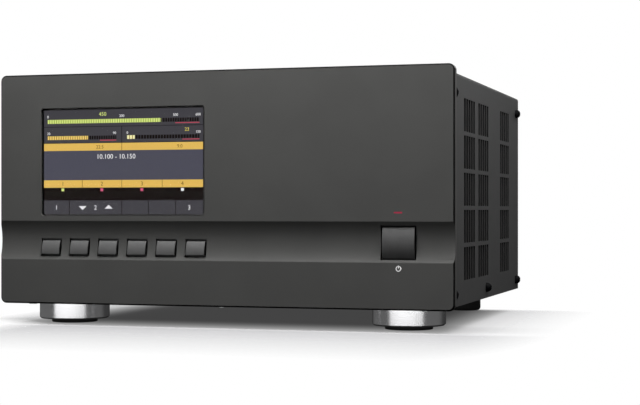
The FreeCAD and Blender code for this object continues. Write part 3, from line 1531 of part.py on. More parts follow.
def coax_lead():
    """From the antenna socket's core down to the filter board and along beside the coils."""
    x = value("antenna_x")
    y = value("rear_face - socket_body_length - socket_tail")
    top = value("socket_z")
    lane = value("bridge_left + filter_inset + filter_width - coax_lane")
    turn_y = y - value("coax_turn")
    low = value("filter_top + coax_radius + fit_gap")
    far_y = value("bridge_y + bridge_length - coax_end")
    points = [
        FreeCAD.Vector(x, y, top),
        FreeCAD.Vector(x, turn_y, top),
        FreeCAD.Vector(lane, turn_y, low),
        FreeCAD.Vector(lane, far_y, low),
    ]
    radius = value("coax_radius")
    shape, length = lead(points, radius, value("coax_bend"))
    piece = doc.addObject("Part::Feature", "coax_lead")
    piece.Shape = shape
    piece.Placement = FreeCAD.Placement(FreeCAD.Vector(0, value("front_face_y"), 0), FreeCAD.Rotation())
    even = shape.Volume / (math.pi * radius ** 2 * length)
    print("coax_lead volume over section times length", round(even, 4))
    keep(piece, "coax_lead")


def ribbon_cable():
    """From the plug behind the front board down to the tray and back to the heat sink."""
    body = new_body("ribbon_cable")
    bind(body, "Placement.Base.x", "ribbon_x")
    section = sketch_on(body, "side")
    start = "board_back + plug_depth"
    bend = "board_back + plug_depth + ribbon_reach"
    end = "sink_y + ribbon_under"
    polygon(section, [
        (start, "ribbon_z - ribbon_sheet / 2"),
        (bend, "ribbon_z - ribbon_sheet / 2"),
        (bend, "tray_top"),
        (end, "tray_top"),
        (end, "tray_top + ribbon_sheet"),
        (f"{bend} + ribbon_sheet", "tray_top + ribbon_sheet"),
        (f"{bend} + ribbon_sheet", "ribbon_z + ribbon_sheet / 2"),
        (start, "ribbon_z + ribbon_sheet / 2"),
    ])
    pad(body, section, "ribbon_width", both=True)
    keep(body, "ribbon_cable")


def all_standoffs():
    keep(group(standoffs), "standoffs")


for build in (front_panel, display, buttons, indicator, front_board, rails, chassis_tray, top_cover,
              cover_screws, rear_panel, front_feet, rear_feet, foot_screws, heat_sink, amplifier_module,
              filter_unit, power_supply, fan_frames, fan_rotors, fan_guards, radio_sockets, earth_terminal,
              mains_inlet, mains_switch, small_sockets, case_screws, coax_lead, ribbon_cable, all_standoffs):
    build()
    doc.recompute()

faults = [item.Name for item in doc.Objects if {"Invalid", "Error"} & set(item.State)]
for piece in kept:
    if piece.Shape.isNull() or not piece.Shape.isValid():
        faults.append(piece.Label)
if faults:
    raise ValueError("these failed: " + ", ".join(faults))

os.makedirs("parts", exist_ok=True)
for piece in kept:
    piece.Shape.exportStep(os.path.join("parts", piece.Label + ".step"))
print(len(kept), "sub-parts,", sum(len(piece.Shape.Solids) for piece in kept), "solids")
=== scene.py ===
import json
import math
import bpy
from mathutils import Matrix, Vector

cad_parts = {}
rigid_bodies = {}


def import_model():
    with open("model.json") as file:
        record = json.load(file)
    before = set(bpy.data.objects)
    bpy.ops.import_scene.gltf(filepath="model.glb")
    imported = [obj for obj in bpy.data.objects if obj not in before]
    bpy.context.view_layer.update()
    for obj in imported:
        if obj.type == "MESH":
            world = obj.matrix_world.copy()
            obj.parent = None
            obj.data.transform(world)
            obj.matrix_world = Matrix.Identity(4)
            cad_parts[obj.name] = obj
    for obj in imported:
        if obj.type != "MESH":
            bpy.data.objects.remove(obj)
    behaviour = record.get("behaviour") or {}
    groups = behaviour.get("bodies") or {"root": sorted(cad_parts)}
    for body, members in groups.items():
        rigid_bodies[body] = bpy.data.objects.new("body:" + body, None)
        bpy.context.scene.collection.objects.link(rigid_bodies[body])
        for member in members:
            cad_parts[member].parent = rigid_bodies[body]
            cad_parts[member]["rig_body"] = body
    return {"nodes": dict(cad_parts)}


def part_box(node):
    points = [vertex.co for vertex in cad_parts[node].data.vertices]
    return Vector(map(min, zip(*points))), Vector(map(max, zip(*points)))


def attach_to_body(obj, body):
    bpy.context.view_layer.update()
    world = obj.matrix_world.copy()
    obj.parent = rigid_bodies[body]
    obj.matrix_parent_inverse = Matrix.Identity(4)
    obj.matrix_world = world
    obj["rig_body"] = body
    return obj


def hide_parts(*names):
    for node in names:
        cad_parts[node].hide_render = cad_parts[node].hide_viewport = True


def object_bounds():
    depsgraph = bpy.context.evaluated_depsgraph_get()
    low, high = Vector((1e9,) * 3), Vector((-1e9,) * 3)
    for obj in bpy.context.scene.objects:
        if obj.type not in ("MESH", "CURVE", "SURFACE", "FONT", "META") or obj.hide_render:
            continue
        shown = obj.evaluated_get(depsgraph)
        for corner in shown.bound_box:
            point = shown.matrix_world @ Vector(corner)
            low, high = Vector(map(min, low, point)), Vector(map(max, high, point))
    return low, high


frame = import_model()
nodes = frame["nodes"]
bpy.context.view_layer.update()
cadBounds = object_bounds()
mm = 0.001  # sizes are in millimetres, and meshes in metres
print("frame loaded:", len(nodes), "nodes")


# camera, floor and light

cameraSettings = {
    "lens": 85,
    "sensor": 36,
    "place": (342.25, -1039.34, 76.13),
    "turn": 16.733,  # degrees to the left
    "shift": 0.0121,
    "reach": 60,  # metres
}
floorSettings = {  # lengths in mm; the paper fades into the white round the case's footprint, sooner to the left, right and back, which wipes the case's shadow away there: painted light
    "size": 3000,
    "rough": 0.9,
    "tone": (112, 112, 113),
    "bounceTone": (50, 50, 50),
    "fade": (2, 170),
    "haste": {"left": 5, "right": 3, "back": 9},  # how much quicker it fades on each side
    "inset": {"left": 40, "back": 35},
    "front": (85, 125),  # where the part in front of the case begins and is full
    # camera-only glow on the paper: painted light that lifts the case's shadow under it, under its front edge
    # and along its sides
    "deepPaintedLight": 0.055,
    "frontPaintedLight": (0.31, 60, 122, 138),  # strength, where it starts, is full and has ended
    "sidePaintedLight": (0.38, 108, 150),
}
lampSettings = {  # place and aim in mm, size in mm, power in watts
    "overhead": {"place": (105, -245, 520), "aim": (75, -80, 60), "size": (900, 240), "power": 14.5},
    "front": {"place": (420, -1500, 0), "aim": (420, 0, 0), "size": (3800, 240), "power": 5.5},
    "back": {"place": (100, 1100, 700), "aim": (0, 0, 80), "size": (900, 500), "power": 5},
    "side": {"place": (520, 420, 420), "aim": (156, 90, 130), "size": (200, 200), "power": 0.5},
    "far": {"place": (-800, 200, 330), "aim": (-156, 0, 100), "size": (500, 300), "power": 2.5},
}
flagSettings = {"front": 8, "back": 114, "rise": 14, "share": 0.7, "shade": (0.02, 0.02, 0.02, 1)}
worldSettings = {  # levels, and the span of a direction's x, y or z over which each one comes in
    "front": 0.015,
    "sides": 0.1,
    "sideSpan": (0.55, 0.9),
    "mattShare": 0.15,  # how much of the sides a dull surface gets
    "behind": 0.34,
    "behindSpan": (0.5, 0.95),
    "behindRise": (-0.08, 0.2),
}


def linear(level):  # one channel of an sRGB colour, 0 to 255
    share = level / 255
    return share / 12.92 if share <= 0.04045 else ((share + 0.055) / 1.055) ** 2.4


def tone(red, green, blue):
    return (linear(red), linear(green), linear(blue), 1)


def shiftTone(colour, factor):
    return tuple(min(1, channel * factor) for channel in colour[:3]) + (1,)


class Signal:  # a socket that takes part in sums
    def __init__(self, tree, socket):
        self.tree = tree
        self.socket = socket

    def __add__(self, other):
        return self.tree.maths("ADD", self, other)

    __radd__ = __add__

    def __sub__(self, other):
        return self.tree.maths("SUBTRACT", self, other)

    def __rsub__(self, other):
        return self.tree.maths("SUBTRACT", other, self)

    def __mul__(self, other):
        return self.tree.maths("MULTIPLY", self, other)

    __rmul__ = __mul__

    def __truediv__(self, other):
        return self.tree.maths("DIVIDE", self, other)

    def __gt__(self, other):
        return self.tree.maths("GREATER_THAN", self, other)

    def __lt__(self, other):
        return self.tree.maths("LESS_THAN", self, other)

    def __mod__(self, other):
        return self.tree.maths("FLOORED_MODULO", self, other)


class Tree:  # nodes of a material or of the world
    def __init__(self, owner):
        owner.use_nodes = True
        self.nodes = owner.node_tree.nodes
        self.links = owner.node_tree.links

    def node(self, kind, settings=None, sockets=None, output=0):
        made = self.nodes.new(kind)
        for key, value in (settings or {}).items():
            setattr(made, key, value)
        for key, value in (sockets or {}).items():
            self.feed(made.inputs[key], value)
        return Signal(self, made.outputs[output])

    def feed(self, target, value):
        if isinstance(value, Signal):
            self.links.new(value.socket, target)
        else:
            target.default_value = value

    def maths(self, operation, first, second=0.0):
        return self.node("ShaderNodeMath", {"operation": operation}, {0: first, 1: second})

    def coordinates(self):
        return self.node("ShaderNodeTexCoord", output="Object")

    def axes(self, vector=None):
        parts = self.node("ShaderNodeSeparateXYZ", sockets={0: vector or self.coordinates()})
        sockets = parts.socket.node.outputs
        return [Signal(self, socket) for socket in sockets]

    def noise(self, grain, detail=2.0, vector=None, stretch=None):  # grain is a length in mm
        vector = vector or self.coordinates()
        if stretch:
            vector = self.node("ShaderNodeVectorMath", {"operation": "MULTIPLY"}, {0: vector, 1: stretch})
        return self.node("ShaderNodeTexNoise", None,
                         {"Vector": vector, "Scale": 1 / (grain * mm), "Detail": detail})

    def mix(self, factor, first, second):
        return self.node("ShaderNodeMix", {"data_type": "RGBA"}, {0: factor, 6: first, 7: second}, 2)

    def mottle(self, fine, coarse, share, low, high):  # fine grains over wide patches, 0 to 1
        return self.spread(coarse * (1 - share) + fine * share, low, high)

    def spread(self, signal, low, high):  # 0 to 1 between two levels, eased
        return self.node("ShaderNodeMapRange", {"interpolation_type": "SMOOTHSTEP"},
                         {0: signal, 1: low, 2: high})

    def ramp(self, signal, low, high):  # 0 to 1 between two levels, in a straight line
        return self.node("ShaderNodeMapRange", None, {0: signal, 1: low, 2: high})

    def stripes(self, signal, pitch):  # soft waves from 0 to 1, pitch in mm
        return self.maths("SINE", signal * (2 * math.pi / (pitch * mm))) * 0.5 + 0.5

    def bump(self, height, depth):  # depth in mm
        return self.node("ShaderNodeBump", None, {"Height": height, "Distance": depth * mm, "Strength": 1.0})


def makeCamera():
    deselectAll()
    place = Vector(cameraSettings["place"]) * mm
    turn = math.radians(cameraSettings["turn"])
    bpy.ops.object.camera_add(location=place, rotation=(math.pi / 2, 0, turn))
    camera = bpy.context.object
    camera.data.lens = cameraSettings["lens"]
    camera.data.sensor_width = cameraSettings["sensor"]
    camera.data.shift_y = cameraSettings["shift"]
    camera.data.clip_end = cameraSettings["reach"]
    bpy.context.scene.camera = camera


def makeFloor():
    deselectAll()
    bpy.ops.mesh.primitive_plane_add(size=floorSettings["size"] * mm)
    floor = bpy.context.object
    floor.name = "floor"
    material = bpy.data.materials.new("floorPaper")
    tree = Tree(material)
    shader = tree.nodes["Principled BSDF"]
    tree.feed(shader.inputs["Roughness"], floorSettings["rough"])
    tree.feed(shader.inputs["Specular IOR Level"], 0.0)
    seen = tree.node("ShaderNodeLightPath", output="Is Camera Ray")
    colour = tree.mix(seen, tone(*floorSettings["bounceTone"]), tone(*floorSettings["tone"]))
    tree.feed(shader.inputs["Base Color"], colour)
    tree.feed(shader.inputs["Emission Color"], (1, 1, 1, 1))
    x, y = tree.axes()[:2]
    # painted light: camera-only emission that lifts the case's shadow on the paper, under its front edge and
    # along its sides
    strength, start, full, end = floorSettings["frontPaintedLight"]
    nearFront = tree.ramp(y * -1, start * mm, full * mm)
    frontPaintedLight = strength * nearFront * nearFront * tree.ramp(y * -1, end * mm, full * mm)
    strength, start, full = floorSettings["sidePaintedLight"]
    nearSide = tree.ramp(tree.maths("ABSOLUTE", x), start * mm, full * mm)
    sidePaintedLight = strength * nearSide * nearSide * (1 - nearFront)
    tree.feed(shader.inputs["Emission Strength"], seen * (floorSettings["deepPaintedLight"] + frontPaintedLight + sidePaintedLight))
    low, high = cadBounds
    # the haste and inset on each side cut the case's shadow short there: painted light
    haste, inset = floorSettings["haste"], floorSettings["inset"]
    inFront = tree.ramp(y * -1, *(place * mm for place in floorSettings["front"]))
    left = tree.maths("MAXIMUM", low[0] + inset["left"] * mm * inFront - x, 0.0) * haste["left"]
    right = tree.maths("MAXIMUM", x - high[0], 0.0) * haste["right"]
    back = tree.maths("MAXIMUM", y - high[1] + inset["back"] * mm, 0.0) * haste["back"]
    front = tree.maths("MAXIMUM", low[1] - y, 0.0)
    across, along = left + right, front + back
    reach = tree.maths("SQRT", across * across + along * along)
    near, far = (distance * mm for distance in floorSettings["fade"])
    clear = tree.node("ShaderNodeBsdfTransparent")
    paper = Signal(tree, shader.outputs[0])
    faded = tree.node("ShaderNodeMixShader", None, {0: tree.ramp(reach, near, far), 1: paper, 2: clear})
    tree.feed(tree.nodes["Material Output"].inputs["Surface"], faded)
    floor.data.materials.append(material)
    floor.visible_glossy = False
    floor.visible_shadow = False


def makeLamps():
    for name, lamp in lampSettings.items():
        deselectAll()
        place = Vector(lamp["place"]) * mm
        bpy.ops.object.light_add(type="AREA", location=place)
        light = bpy.context.object
        light.name = name + "Lamp"
        light.data.shape = "RECTANGLE"
        light.data.size, light.data.size_y = (side * mm for side in lamp["size"])
        light.data.energy = lamp["power"]
        aim = Vector(lamp["aim"]) * mm - place
        light.rotation_euler = aim.to_track_quat("-Z", "Y").to_euler()
        light.visible_camera = False


def makeFlag():  # keeps most of the overhead lamp's light off the top
    low, high = cadBounds
    front, back = low[1] + flagSettings["front"] * mm, flagSettings["back"] * mm
    middle = (0, (front + back) / 2, high[2] + flagSettings["rise"] * mm)
    deselectAll()
    bpy.ops.mesh.primitive_plane_add(size=1, location=middle)
    flag = bpy.context.object
    flag.name = "flag"
    flag.scale = (high[0] - low[0], back - front, 1)
    applyPlace(flag)
    material = bpy.data.materials.new("flagGauze")
    tree = Tree(material)
    cloth = tree.node("ShaderNodeBsdfDiffuse", None, {"Color": flagSettings["shade"]})
    gap = tree.node("ShaderNodeBsdfTransparent")
    gauze = tree.node("ShaderNodeMixShader", None, {0: flagSettings["share"], 1: gap, 2: cloth})
    tree.feed(tree.nodes["Material Output"].inputs["Surface"], gauze)
    flag.data.materials.append(material)
    flag.visible_camera = False
    flag.visible_glossy = False
    flag.visible_transmission = False
    flag.visible_diffuse = False


def makeWorld():
    world = bpy.data.worlds.new("studio")
    bpy.context.scene.world = world
    tree = Tree(world)
    background = tree.nodes["Background"]
    direction = tree.node("ShaderNodeTexCoord", output="Generated")
    x, y, z = tree.axes(direction)
    shine = tree.node("ShaderNodeLightPath", output="Is Glossy Ray")
    share = worldSettings["mattShare"]
    beside = tree.spread(tree.maths("ABSOLUTE", x), *worldSettings["sideSpan"])
    beside = beside * (share + (1 - share) * shine)
    behind = tree.spread(y, *worldSettings["behindSpan"]) * tree.ramp(z, *worldSettings["behindRise"])
    level = worldSettings["front"] + beside * worldSettings["sides"] + behind * worldSettings["behind"]
    seen = tree.node("ShaderNodeLightPath", output="Is Camera Ray")
    tree.feed(background.inputs["Color"], (1, 1, 1, 1))
    tree.feed(background.inputs["Strength"], seen + (1 - seen) * level)


# modelling helpers

def deselectAll():
    bpy.ops.object.select_all(action="DESELECT")


def activate(piece):
    deselectAll()
    piece.select_set(True)
    bpy.context.view_layer.objects.active = piece


def applyPlace(piece):
    activate(piece)
    bpy.ops.object.transform_apply(location=True, rotation=True, scale=True)
    return piece


def corners(node):  # lowest and highest corner of a node, in mm
    low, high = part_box(node)
    return low / mm, high / mm


def addBlock(name, low, high):
    deselectAll()
    low, high = Vector(low), Vector(high)
    bpy.ops.mesh.primitive_cube_add(size=1, location=(low + high) / 2 * mm, scale=(high - low) * mm)
    block = bpy.context.object
    block.name = name
    return applyPlace(block)


def addRod(name, centre, radius, length, axis="Z", sides=64):
    deselectAll()
    turns = {"X": (0, math.pi / 2, 0), "Y": (math.pi / 2, 0, 0), "Z": (0, 0, 0)}
    bpy.ops.mesh.primitive_cylinder_add(vertices=sides, radius=radius * mm, depth=length * mm,
                                        location=Vector(centre) * mm, rotation=turns[axis])
    rod = bpy.context.object
    rod.name = name
    return applyPlace(rod)


def applyModifier(piece, kind, **settings):
    activate(piece)
    modifier = piece.modifiers.new(kind.lower(), kind)
    for key, value in settings.items():
        setattr(modifier, key, value)
    bpy.ops.object.modifier_apply(modifier=modifier.name)


def combine(piece, tool, operation="DIFFERENCE"):
    applyModifier(piece, "BOOLEAN", operation=operation, object=tool, solver="EXACT")
    bpy.data.objects.remove(tool)
    return piece


def joinAll(name, parts):
    deselectAll()
    for part in parts:
        part.select_set(True)
    bpy.context.view_layer.objects.active = parts[0]
    bpy.ops.object.join()
    parts[0].name = name
    return parts[0]


def copyOf(piece, shift=(0, 0, 0), name=None):
    twin = piece.copy()
    twin.data = piece.data.copy()
    twin.name = name or piece.name
    bpy.context.scene.collection.objects.link(twin)
    twin.data.transform(Matrix.Translation(Vector(shift) * mm))
    return twin


def chooseEdges(piece, wanted):  # leaves the piece in edit mode
    activate(piece)
    bpy.ops.object.mode_set(mode="EDIT")
    bpy.ops.mesh.select_mode(type="EDGE")
    bpy.ops.mesh.select_all(action="DESELECT")
    bpy.ops.object.mode_set(mode="OBJECT")
    points = piece.data.vertices
    for edge in piece.data.edges:
        edge.select = wanted(*(points[index].co / mm for index in edge.vertices))
    bpy.ops.object.mode_set(mode="EDIT")


def bevelEdges(piece, wanted, width, segments=2):
    chooseEdges(piece, wanted)
    bpy.ops.mesh.bevel(offset=width * mm, segments=segments, affect="EDGES")
    bpy.ops.object.mode_set(mode="OBJECT")
    return piece


def chooseFaces(piece, wanted):  # leaves the piece in edit mode
    activate(piece)
    bpy.ops.object.mode_set(mode="EDIT")
    bpy.ops.mesh.select_mode(type="FACE")
    bpy.ops.mesh.select_all(action="DESELECT")
    bpy.ops.object.mode_set(mode="OBJECT")
    for face in piece.data.polygons:
        face.select = wanted(face.normal, face.center / mm)
    bpy.ops.object.mode_set(mode="EDIT")


def close(first, second, gap=0.01):
    return abs(first - second) < gap


def bothAt(first, second, axis, level):  # an edge that lies in one level plane
    return close(first[axis], level) and close(second[axis], level)


def runsAlong(first, second, axis):
    step = second - first
    return all(close(step[other], 0) for other in range(3) if other != axis)


def smooth(piece, angle=32):
    activate(piece)
    bpy.ops.object.shade_smooth_by_angle(angle=math.radians(angle))
    applyModifier(piece, "WEIGHTED_NORMAL", keep_sharp=True)
    return piece


def softenEdges(piece, width, segments=2, angle=40):
    applyModifier(piece, "BEVEL", width=width * mm, segments=segments, limit_method="ANGLE",
                  angle_limit=math.radians(angle), use_clamp_overlap=True)
    return smooth(piece)


def paint(piece, *names):  # its finishes, the first one all over
    piece.data.materials.clear()
    for name in names:
        piece.data.materials.append(finishes[name])


def settle(piece, finish, node=None, body="case"):
    paint(piece, finish)
    return attach(piece, node, body)


def attach(piece, node=None, body="case"):
    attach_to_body(piece, body)
    if node:
        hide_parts(node)
    return piece


mergeSettings = {"gap": 0.005, "flat": 0.6}  # mm, and degrees between faces that become one


def dressed(node, width):  # a node's own form with rounded edges
    source = nodes[node]
    words = node.split("_")
    name = words[0] + "".join(word.capitalize() for word in words[1:])
    piece = source.copy()
    piece.data = source.data.copy()
    piece.parent = None
    for key in list(piece.keys()):
        del piece[key]
    piece.name = name
    bpy.context.scene.collection.objects.link(piece)
    activate(piece)
    bpy.ops.object.mode_set(mode="EDIT")
    bpy.ops.mesh.select_all(action="SELECT")
    bpy.ops.mesh.remove_doubles(threshold=mergeSettings["gap"] * mm)
    bpy.ops.mesh.dissolve_limited(angle_limit=math.radians(mergeSettings["flat"]))
    bpy.ops.object.mode_set(mode="OBJECT")
    if width:
        softenEdges(piece, width)
    else:
        smooth(piece)
    return settle(piece, source.data.materials[0].name, node, source["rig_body"])


# finishes

finishes = {}


def newFinish(name, **fixed):
    material = bpy.data.materials.new(name + "Finish")
    tree = Tree(material)
    tree.shader = tree.nodes["Principled BSDF"]
    finishes[name] = material
    setFinish(tree, **fixed)
    return tree


def setFinish(tree, **values):
    for key, value in values.items():
        tree.feed(tree.shader.inputs[key.replace("_", " ")], value)


plainFinishes = {  # the grain's size and the depth of its bump are in mm, and swing is the spread of tone
    "key_plastic": {"colour": (54, 54, 54), "rough": 0.58, "grain": 0.25, "depth": 0.008, "gloss": 0.35},
    # painted shade for the front plate's chamfered rim
    "fascia_rim_shade": {"colour": (8, 8, 8), "rough": 0.8, "grain": 0.22, "depth": 0.006, "gloss": 0.06},
    # painted shade for the sides of the keys and the power button
    "key_side": {"colour": (6, 6, 6), "rough": 0.7, "grain": 0.25, "depth": 0.006, "gloss": 0.08},
    "black_screw": {"colour": (5, 5, 6), "rough": 0.6, "grain": 0.4, "depth": 0.006, "gloss": 0.04},
    "foot_rubber": {"colour": (24, 24, 24), "rough": 0.75, "grain": 0.3, "depth": 0.03},
    "print_white": {"colour": (214, 214, 214), "rough": 0.6, "grain": 0.3, "depth": 0.002},
    "switch_black": {"colour": (24, 24, 25), "rough": 0.5, "grain": 0.2, "depth": 0.01},
    "fan_plastic": {"colour": (28, 28, 29), "rough": 0.42, "grain": 0.5, "depth": 0.01},
    "inlet_plastic": {"colour": (30, 30, 30), "rough": 0.45, "grain": 0.25, "depth": 0.012},
    "drawer_plastic": {"colour": (34, 34, 34), "rough": 0.45, "grain": 0.25, "depth": 0.012},
    "rocker_plastic": {"colour": (26, 26, 26), "rough": 0.3, "grain": 0.6, "depth": 0.004},
    "relay_case": {"colour": (214, 120, 44), "rough": 0.35, "grain": 0.8, "depth": 0.006},
    "socket_insulator": {"colour": (228, 226, 218), "rough": 0.5, "grain": 0.6, "depth": 0.006},
    "ferrite": {"colour": (52, 53, 56), "rough": 0.62, "grain": 0.3, "depth": 0.03},
    "chip_black": {"colour": (36, 36, 38), "rough": 0.55, "grain": 0.15, "depth": 0.008},
    "lead_jacket": {"colour": (34, 34, 36), "rough": 0.5, "grain": 1.0, "depth": 0.01},
    "foam": {"colour": (26, 26, 27), "rough": 0.9, "grain": 0.25, "depth": 0.08},
    "display_face": {"colour": (16, 13, 13), "rough": 0.3, "grain": 0.2, "depth": 0.003},
    "zinc_steel": {"colour": (176, 179, 178), "rough": 0.34, "metal": 1, "grain": 6, "depth": 0.004,
                   "swing": 0.14},
    "sink_metal": {"colour": (44, 44, 46), "rough": 0.42, "metal": 0.6, "grain": 1.2, "depth": 0.01,
                   "stretch": (1, 0.05, 1)},
    "copper": {"colour": (196, 122, 84), "rough": 0.3, "metal": 1, "grain": 3, "depth": 0.004, "swing": 0.15},
    "brass_post": {"colour": (200, 168, 96), "rough": 0.3, "metal": 1, "grain": 1.5, "depth": 0.004},
    "socket_metal": {"colour": (190, 190, 188), "rough": 0.24, "metal": 1, "grain": 1.5, "depth": 0.004},
    "guard_metal": {"colour": (178, 180, 182), "rough": 0.22, "metal": 1, "grain": 2.5, "depth": 0.003},
    "transistor_gold": {"colour": (212, 176, 96), "rough": 0.28, "metal": 1, "grain": 1, "depth": 0.003},
}


patchScale = 22  # patches of tone against grains


def twoTones(tree, shade, colour, swing):  # a colour that wanders by a share of itself
    return tree.mix(shade, shiftTone(tone(*colour), 1 - swing), shiftTone(tone(*colour), 1 + swing))


def makePlainFinish(name, colour, rough, grain, depth, metal=0, swing=0.07, stretch=None, gloss=0.5):
    tree = newFinish(name, Metallic=metal, Specular_IOR_Level=gloss)
    grains = tree.noise(grain, 3, stretch=stretch)
    patches = tree.noise(grain * patchScale, 2)
    shade = tree.mottle(grains, patches, 0.25, 0.35, 0.65)
    setFinish(tree, Base_Color=twoTones(tree, shade, colour, swing),
              Roughness=rough + (grains - 0.5) * 0.1, Normal=tree.bump(grains, depth))


fasciaFinish = {"colour": (55, 55, 54), "gloss": 0.22, "beads": 0.22, "depth": 0.008, "patches": 28,
                "swing": 0.04, "rough": 0.4}


def makeFascia():  # bead-blasted and dyed aluminium
    tree = newFinish("fascia", Specular_IOR_Level=fasciaFinish["gloss"])
    beads = tree.noise(fasciaFinish["beads"], 2)
    patches = tree.noise(fasciaFinish["patches"], 2)
    shade = tree.mottle(beads, patches, 0.2, 0.36, 0.64)
    setFinish(tree, Base_Color=twoTones(tree, shade, fasciaFinish["colour"], fasciaFinish["swing"]),
              Roughness=fasciaFinish["rough"] + 0.08 * beads, Normal=tree.bump(beads, fasciaFinish["depth"]))


coverFinish = {
    "colour": (46, 46, 46),
    "gloss": 0.3,
    "swing": 0.07,
    "grain": 0.5,
    "depth": 0.03,
    "patches": 11,
    "rough": 0.53,
    "insideRough": 0.42,  # added on the inside
    "insidePaintedShade": 0.12,
    "barPaintedShade": 0.35,
    "skin": (0.35, 0.1),  # depth from a face in mm, where the outside begins and is full
    "rearSkin": (0.5, 0.2),
}


def makeCoverPaint():  # textured powder paint, with painted shade on the inside of the sheet and on the bars between its slots
    tree = newFinish("cover_paint", Specular_IOR_Level=coverFinish["gloss"])
    x, y, z = tree.axes()

    def nearFace(signal, face, skin):
        return tree.ramp(signal, *((face - depth) * mm for depth in skin))

    high = corners("top_cover")[1]
    onSide = nearFace(tree.maths("ABSOLUTE", x), high.x, coverFinish["skin"])
    onTop = nearFace(z, high.z, coverFinish["skin"])
    behind = nearFace(y, corners("rear_panel")[1].y, coverFinish["rearSkin"])
    outside = tree.maths("MAXIMUM", tree.maths("MAXIMUM", onSide, onTop), behind)
    grains = tree.noise(coverFinish["grain"], 3)
    patches = tree.noise(coverFinish["patches"], 2)
    shade = tree.mottle(grains, patches, 0.25, 0.35, 0.65)
    coat = twoTones(tree, shade, coverFinish["colour"], coverFinish["swing"])
    body = tone(*coverFinish["colour"])
    # painted shade: the bars between the slots and the inside of the sheet are darkened
    coat = tree.mix(amongSlots(tree, y, z), coat, shiftTone(body, coverFinish["barPaintedShade"]))
    setFinish(tree, Base_Color=tree.mix(outside, shiftTone(body, coverFinish["insidePaintedShade"]), coat),
              Roughness=coverFinish["rough"] + coverFinish["insideRough"] * (1 - outside) + 0.1 * grains,
              Normal=tree.bump(grains, coverFinish["depth"]))


def amongSlots(tree, y, z):  # 1 on the bars between the slots, which take a painted shade
    bottom, pitch = coverSizes["firstRow"], coverSizes["rowPitch"]
    inRows = ((z - bottom * mm) % (pitch * mm) < coverSizes["rowHeight"] * mm) * (z > bottom * mm)
    inRows = inRows * (z < (bottom + coverSizes["rows"] * pitch) * mm)
    reach = ((coverSizes["slots"] - 1) * coverSizes["slotPitch"] + coverSizes["slotWidth"]) / 2
    inBlocks = 0
    for middle in coverSizes["blocks"]:
        inBlocks = (tree.maths("ABSOLUTE", y - middle * mm) < reach * mm) + inBlocks
    return inRows * inBlocks


def makeWindow():
    tree = newFinish("window_clear", Transmission_Weight=1.0, IOR=1.06)
    wipes = tree.noise(35, 3, stretch=(1, 1, 0.4))
    setFinish(tree, Base_Color=tree.mix(wipes, (0.97, 0.97, 0.97, 1), (1, 1, 1, 1)),
              Roughness=0.01 + 0.02 * wipes)


def makeGlow(name, colour, strength=1.0, ripple=0.04, grain=0.4):  # a lit patch
    tree = newFinish(name, Emission_Strength=strength, Specular_IOR_Level=0.0)
    dots = tree.noise(grain, 1)
    setFinish(tree, Base_Color=(0.004, 0.004, 0.004, 1), Roughness=0.6,
              Emission_Color=twoTones(tree, dots, colour, ripple))


boardFinish = {"lacquer": (26, 84, 52), "track": (44, 112, 68), "pitch": 2.2, "slant": 0.31, "cloud": 9,
               "depth": 0.03, "rough": 0.35}


def makeBoard():  # green lacquer over copper tracks
    tree = newFinish("board_green", Roughness=boardFinish["rough"])
    x, y, z = tree.axes()
    lanes = (x + y * boardFinish["slant"] + z) / (boardFinish["pitch"] * mm)
    cloud = tree.spread(tree.noise(boardFinish["cloud"], 1), 0.5, 0.56)
    tracks = tree.spread(lanes % 1, 0.52, 0.6) * cloud
    setFinish(tree, Base_Color=tree.mix(tracks, tone(*boardFinish["lacquer"]), tone(*boardFinish["track"])),
              Normal=tree.bump(tracks, boardFinish["depth"]))


footFinish = {"dark": (238, 238, 240), "light": (250, 250, 251), "marks": 0.16, "depth": 0.004,
              "rough": 0.19}


def makeTurnedMetal():  # fine turning marks round each foot
    tree = newFinish("foot_metal", Metallic=1.0)
    x, y, z = tree.axes()
    middle = middleOf("front_foot_left")
    across = tree.maths("ABSOLUTE", x) - abs(middle.x) * mm
    along = y - middle.y * mm
    reach = tree.maths("SQRT", across * across + along * along)
    ring = tree.node("ShaderNodeCombineXYZ", None, {0: reach, 1: 0.0, 2: z})
    marks = tree.noise(footFinish["marks"], 2, vector=ring)
    setFinish(tree, Base_Color=tree.mix(marks, tone(*footFinish["dark"]), tone(*footFinish["light"])),
              Roughness=footFinish["rough"] + 0.09 * marks, Normal=tree.bump(marks, footFinish["depth"]))


def makeWinding(name, colour, pitch, depth):  # turns of wire or tape, side by side
    tree = newFinish(name, Roughness=0.32)
    x, y, z = tree.axes()
    turns = tree.stripes(x + y * 0.4 + z * 0.15, pitch)
    patches = tree.noise(4, 2)
    body = tone(*colour)
    # tone follows the turns, darker in the creases between them and lighter on their crowns: painted shade
    shade = tree.mix(turns * 0.8 + patches * 0.2, shiftTone(body, 0.55), shiftTone(body, 1.12))
    setFinish(tree, Base_Color=shade, Normal=tree.bump(turns, depth))


def makeSleeve():  # printed sleeve of a can, with its pale top
    tree = newFinish("can_sleeve", Roughness=0.38)
    grains = tree.noise(0.8, 2)
    atTop = tree.spread(tree.axes()[2], 56.8 * mm, 57.2 * mm)
    shade = tree.mix(grains, tone(34, 40, 58), tone(40, 47, 66))
    setFinish(tree, Base_Color=tree.mix(atTop, shade, tone(150, 152, 156)), Normal=tree.bump(grains, 0.01))


ribbonFinish = {"groove": (112, 113, 116), "wire": (158, 160, 163), "marked": (170, 42, 40), "pitch": 1.27,
                "edge": 1.3, "depth": 0.12}


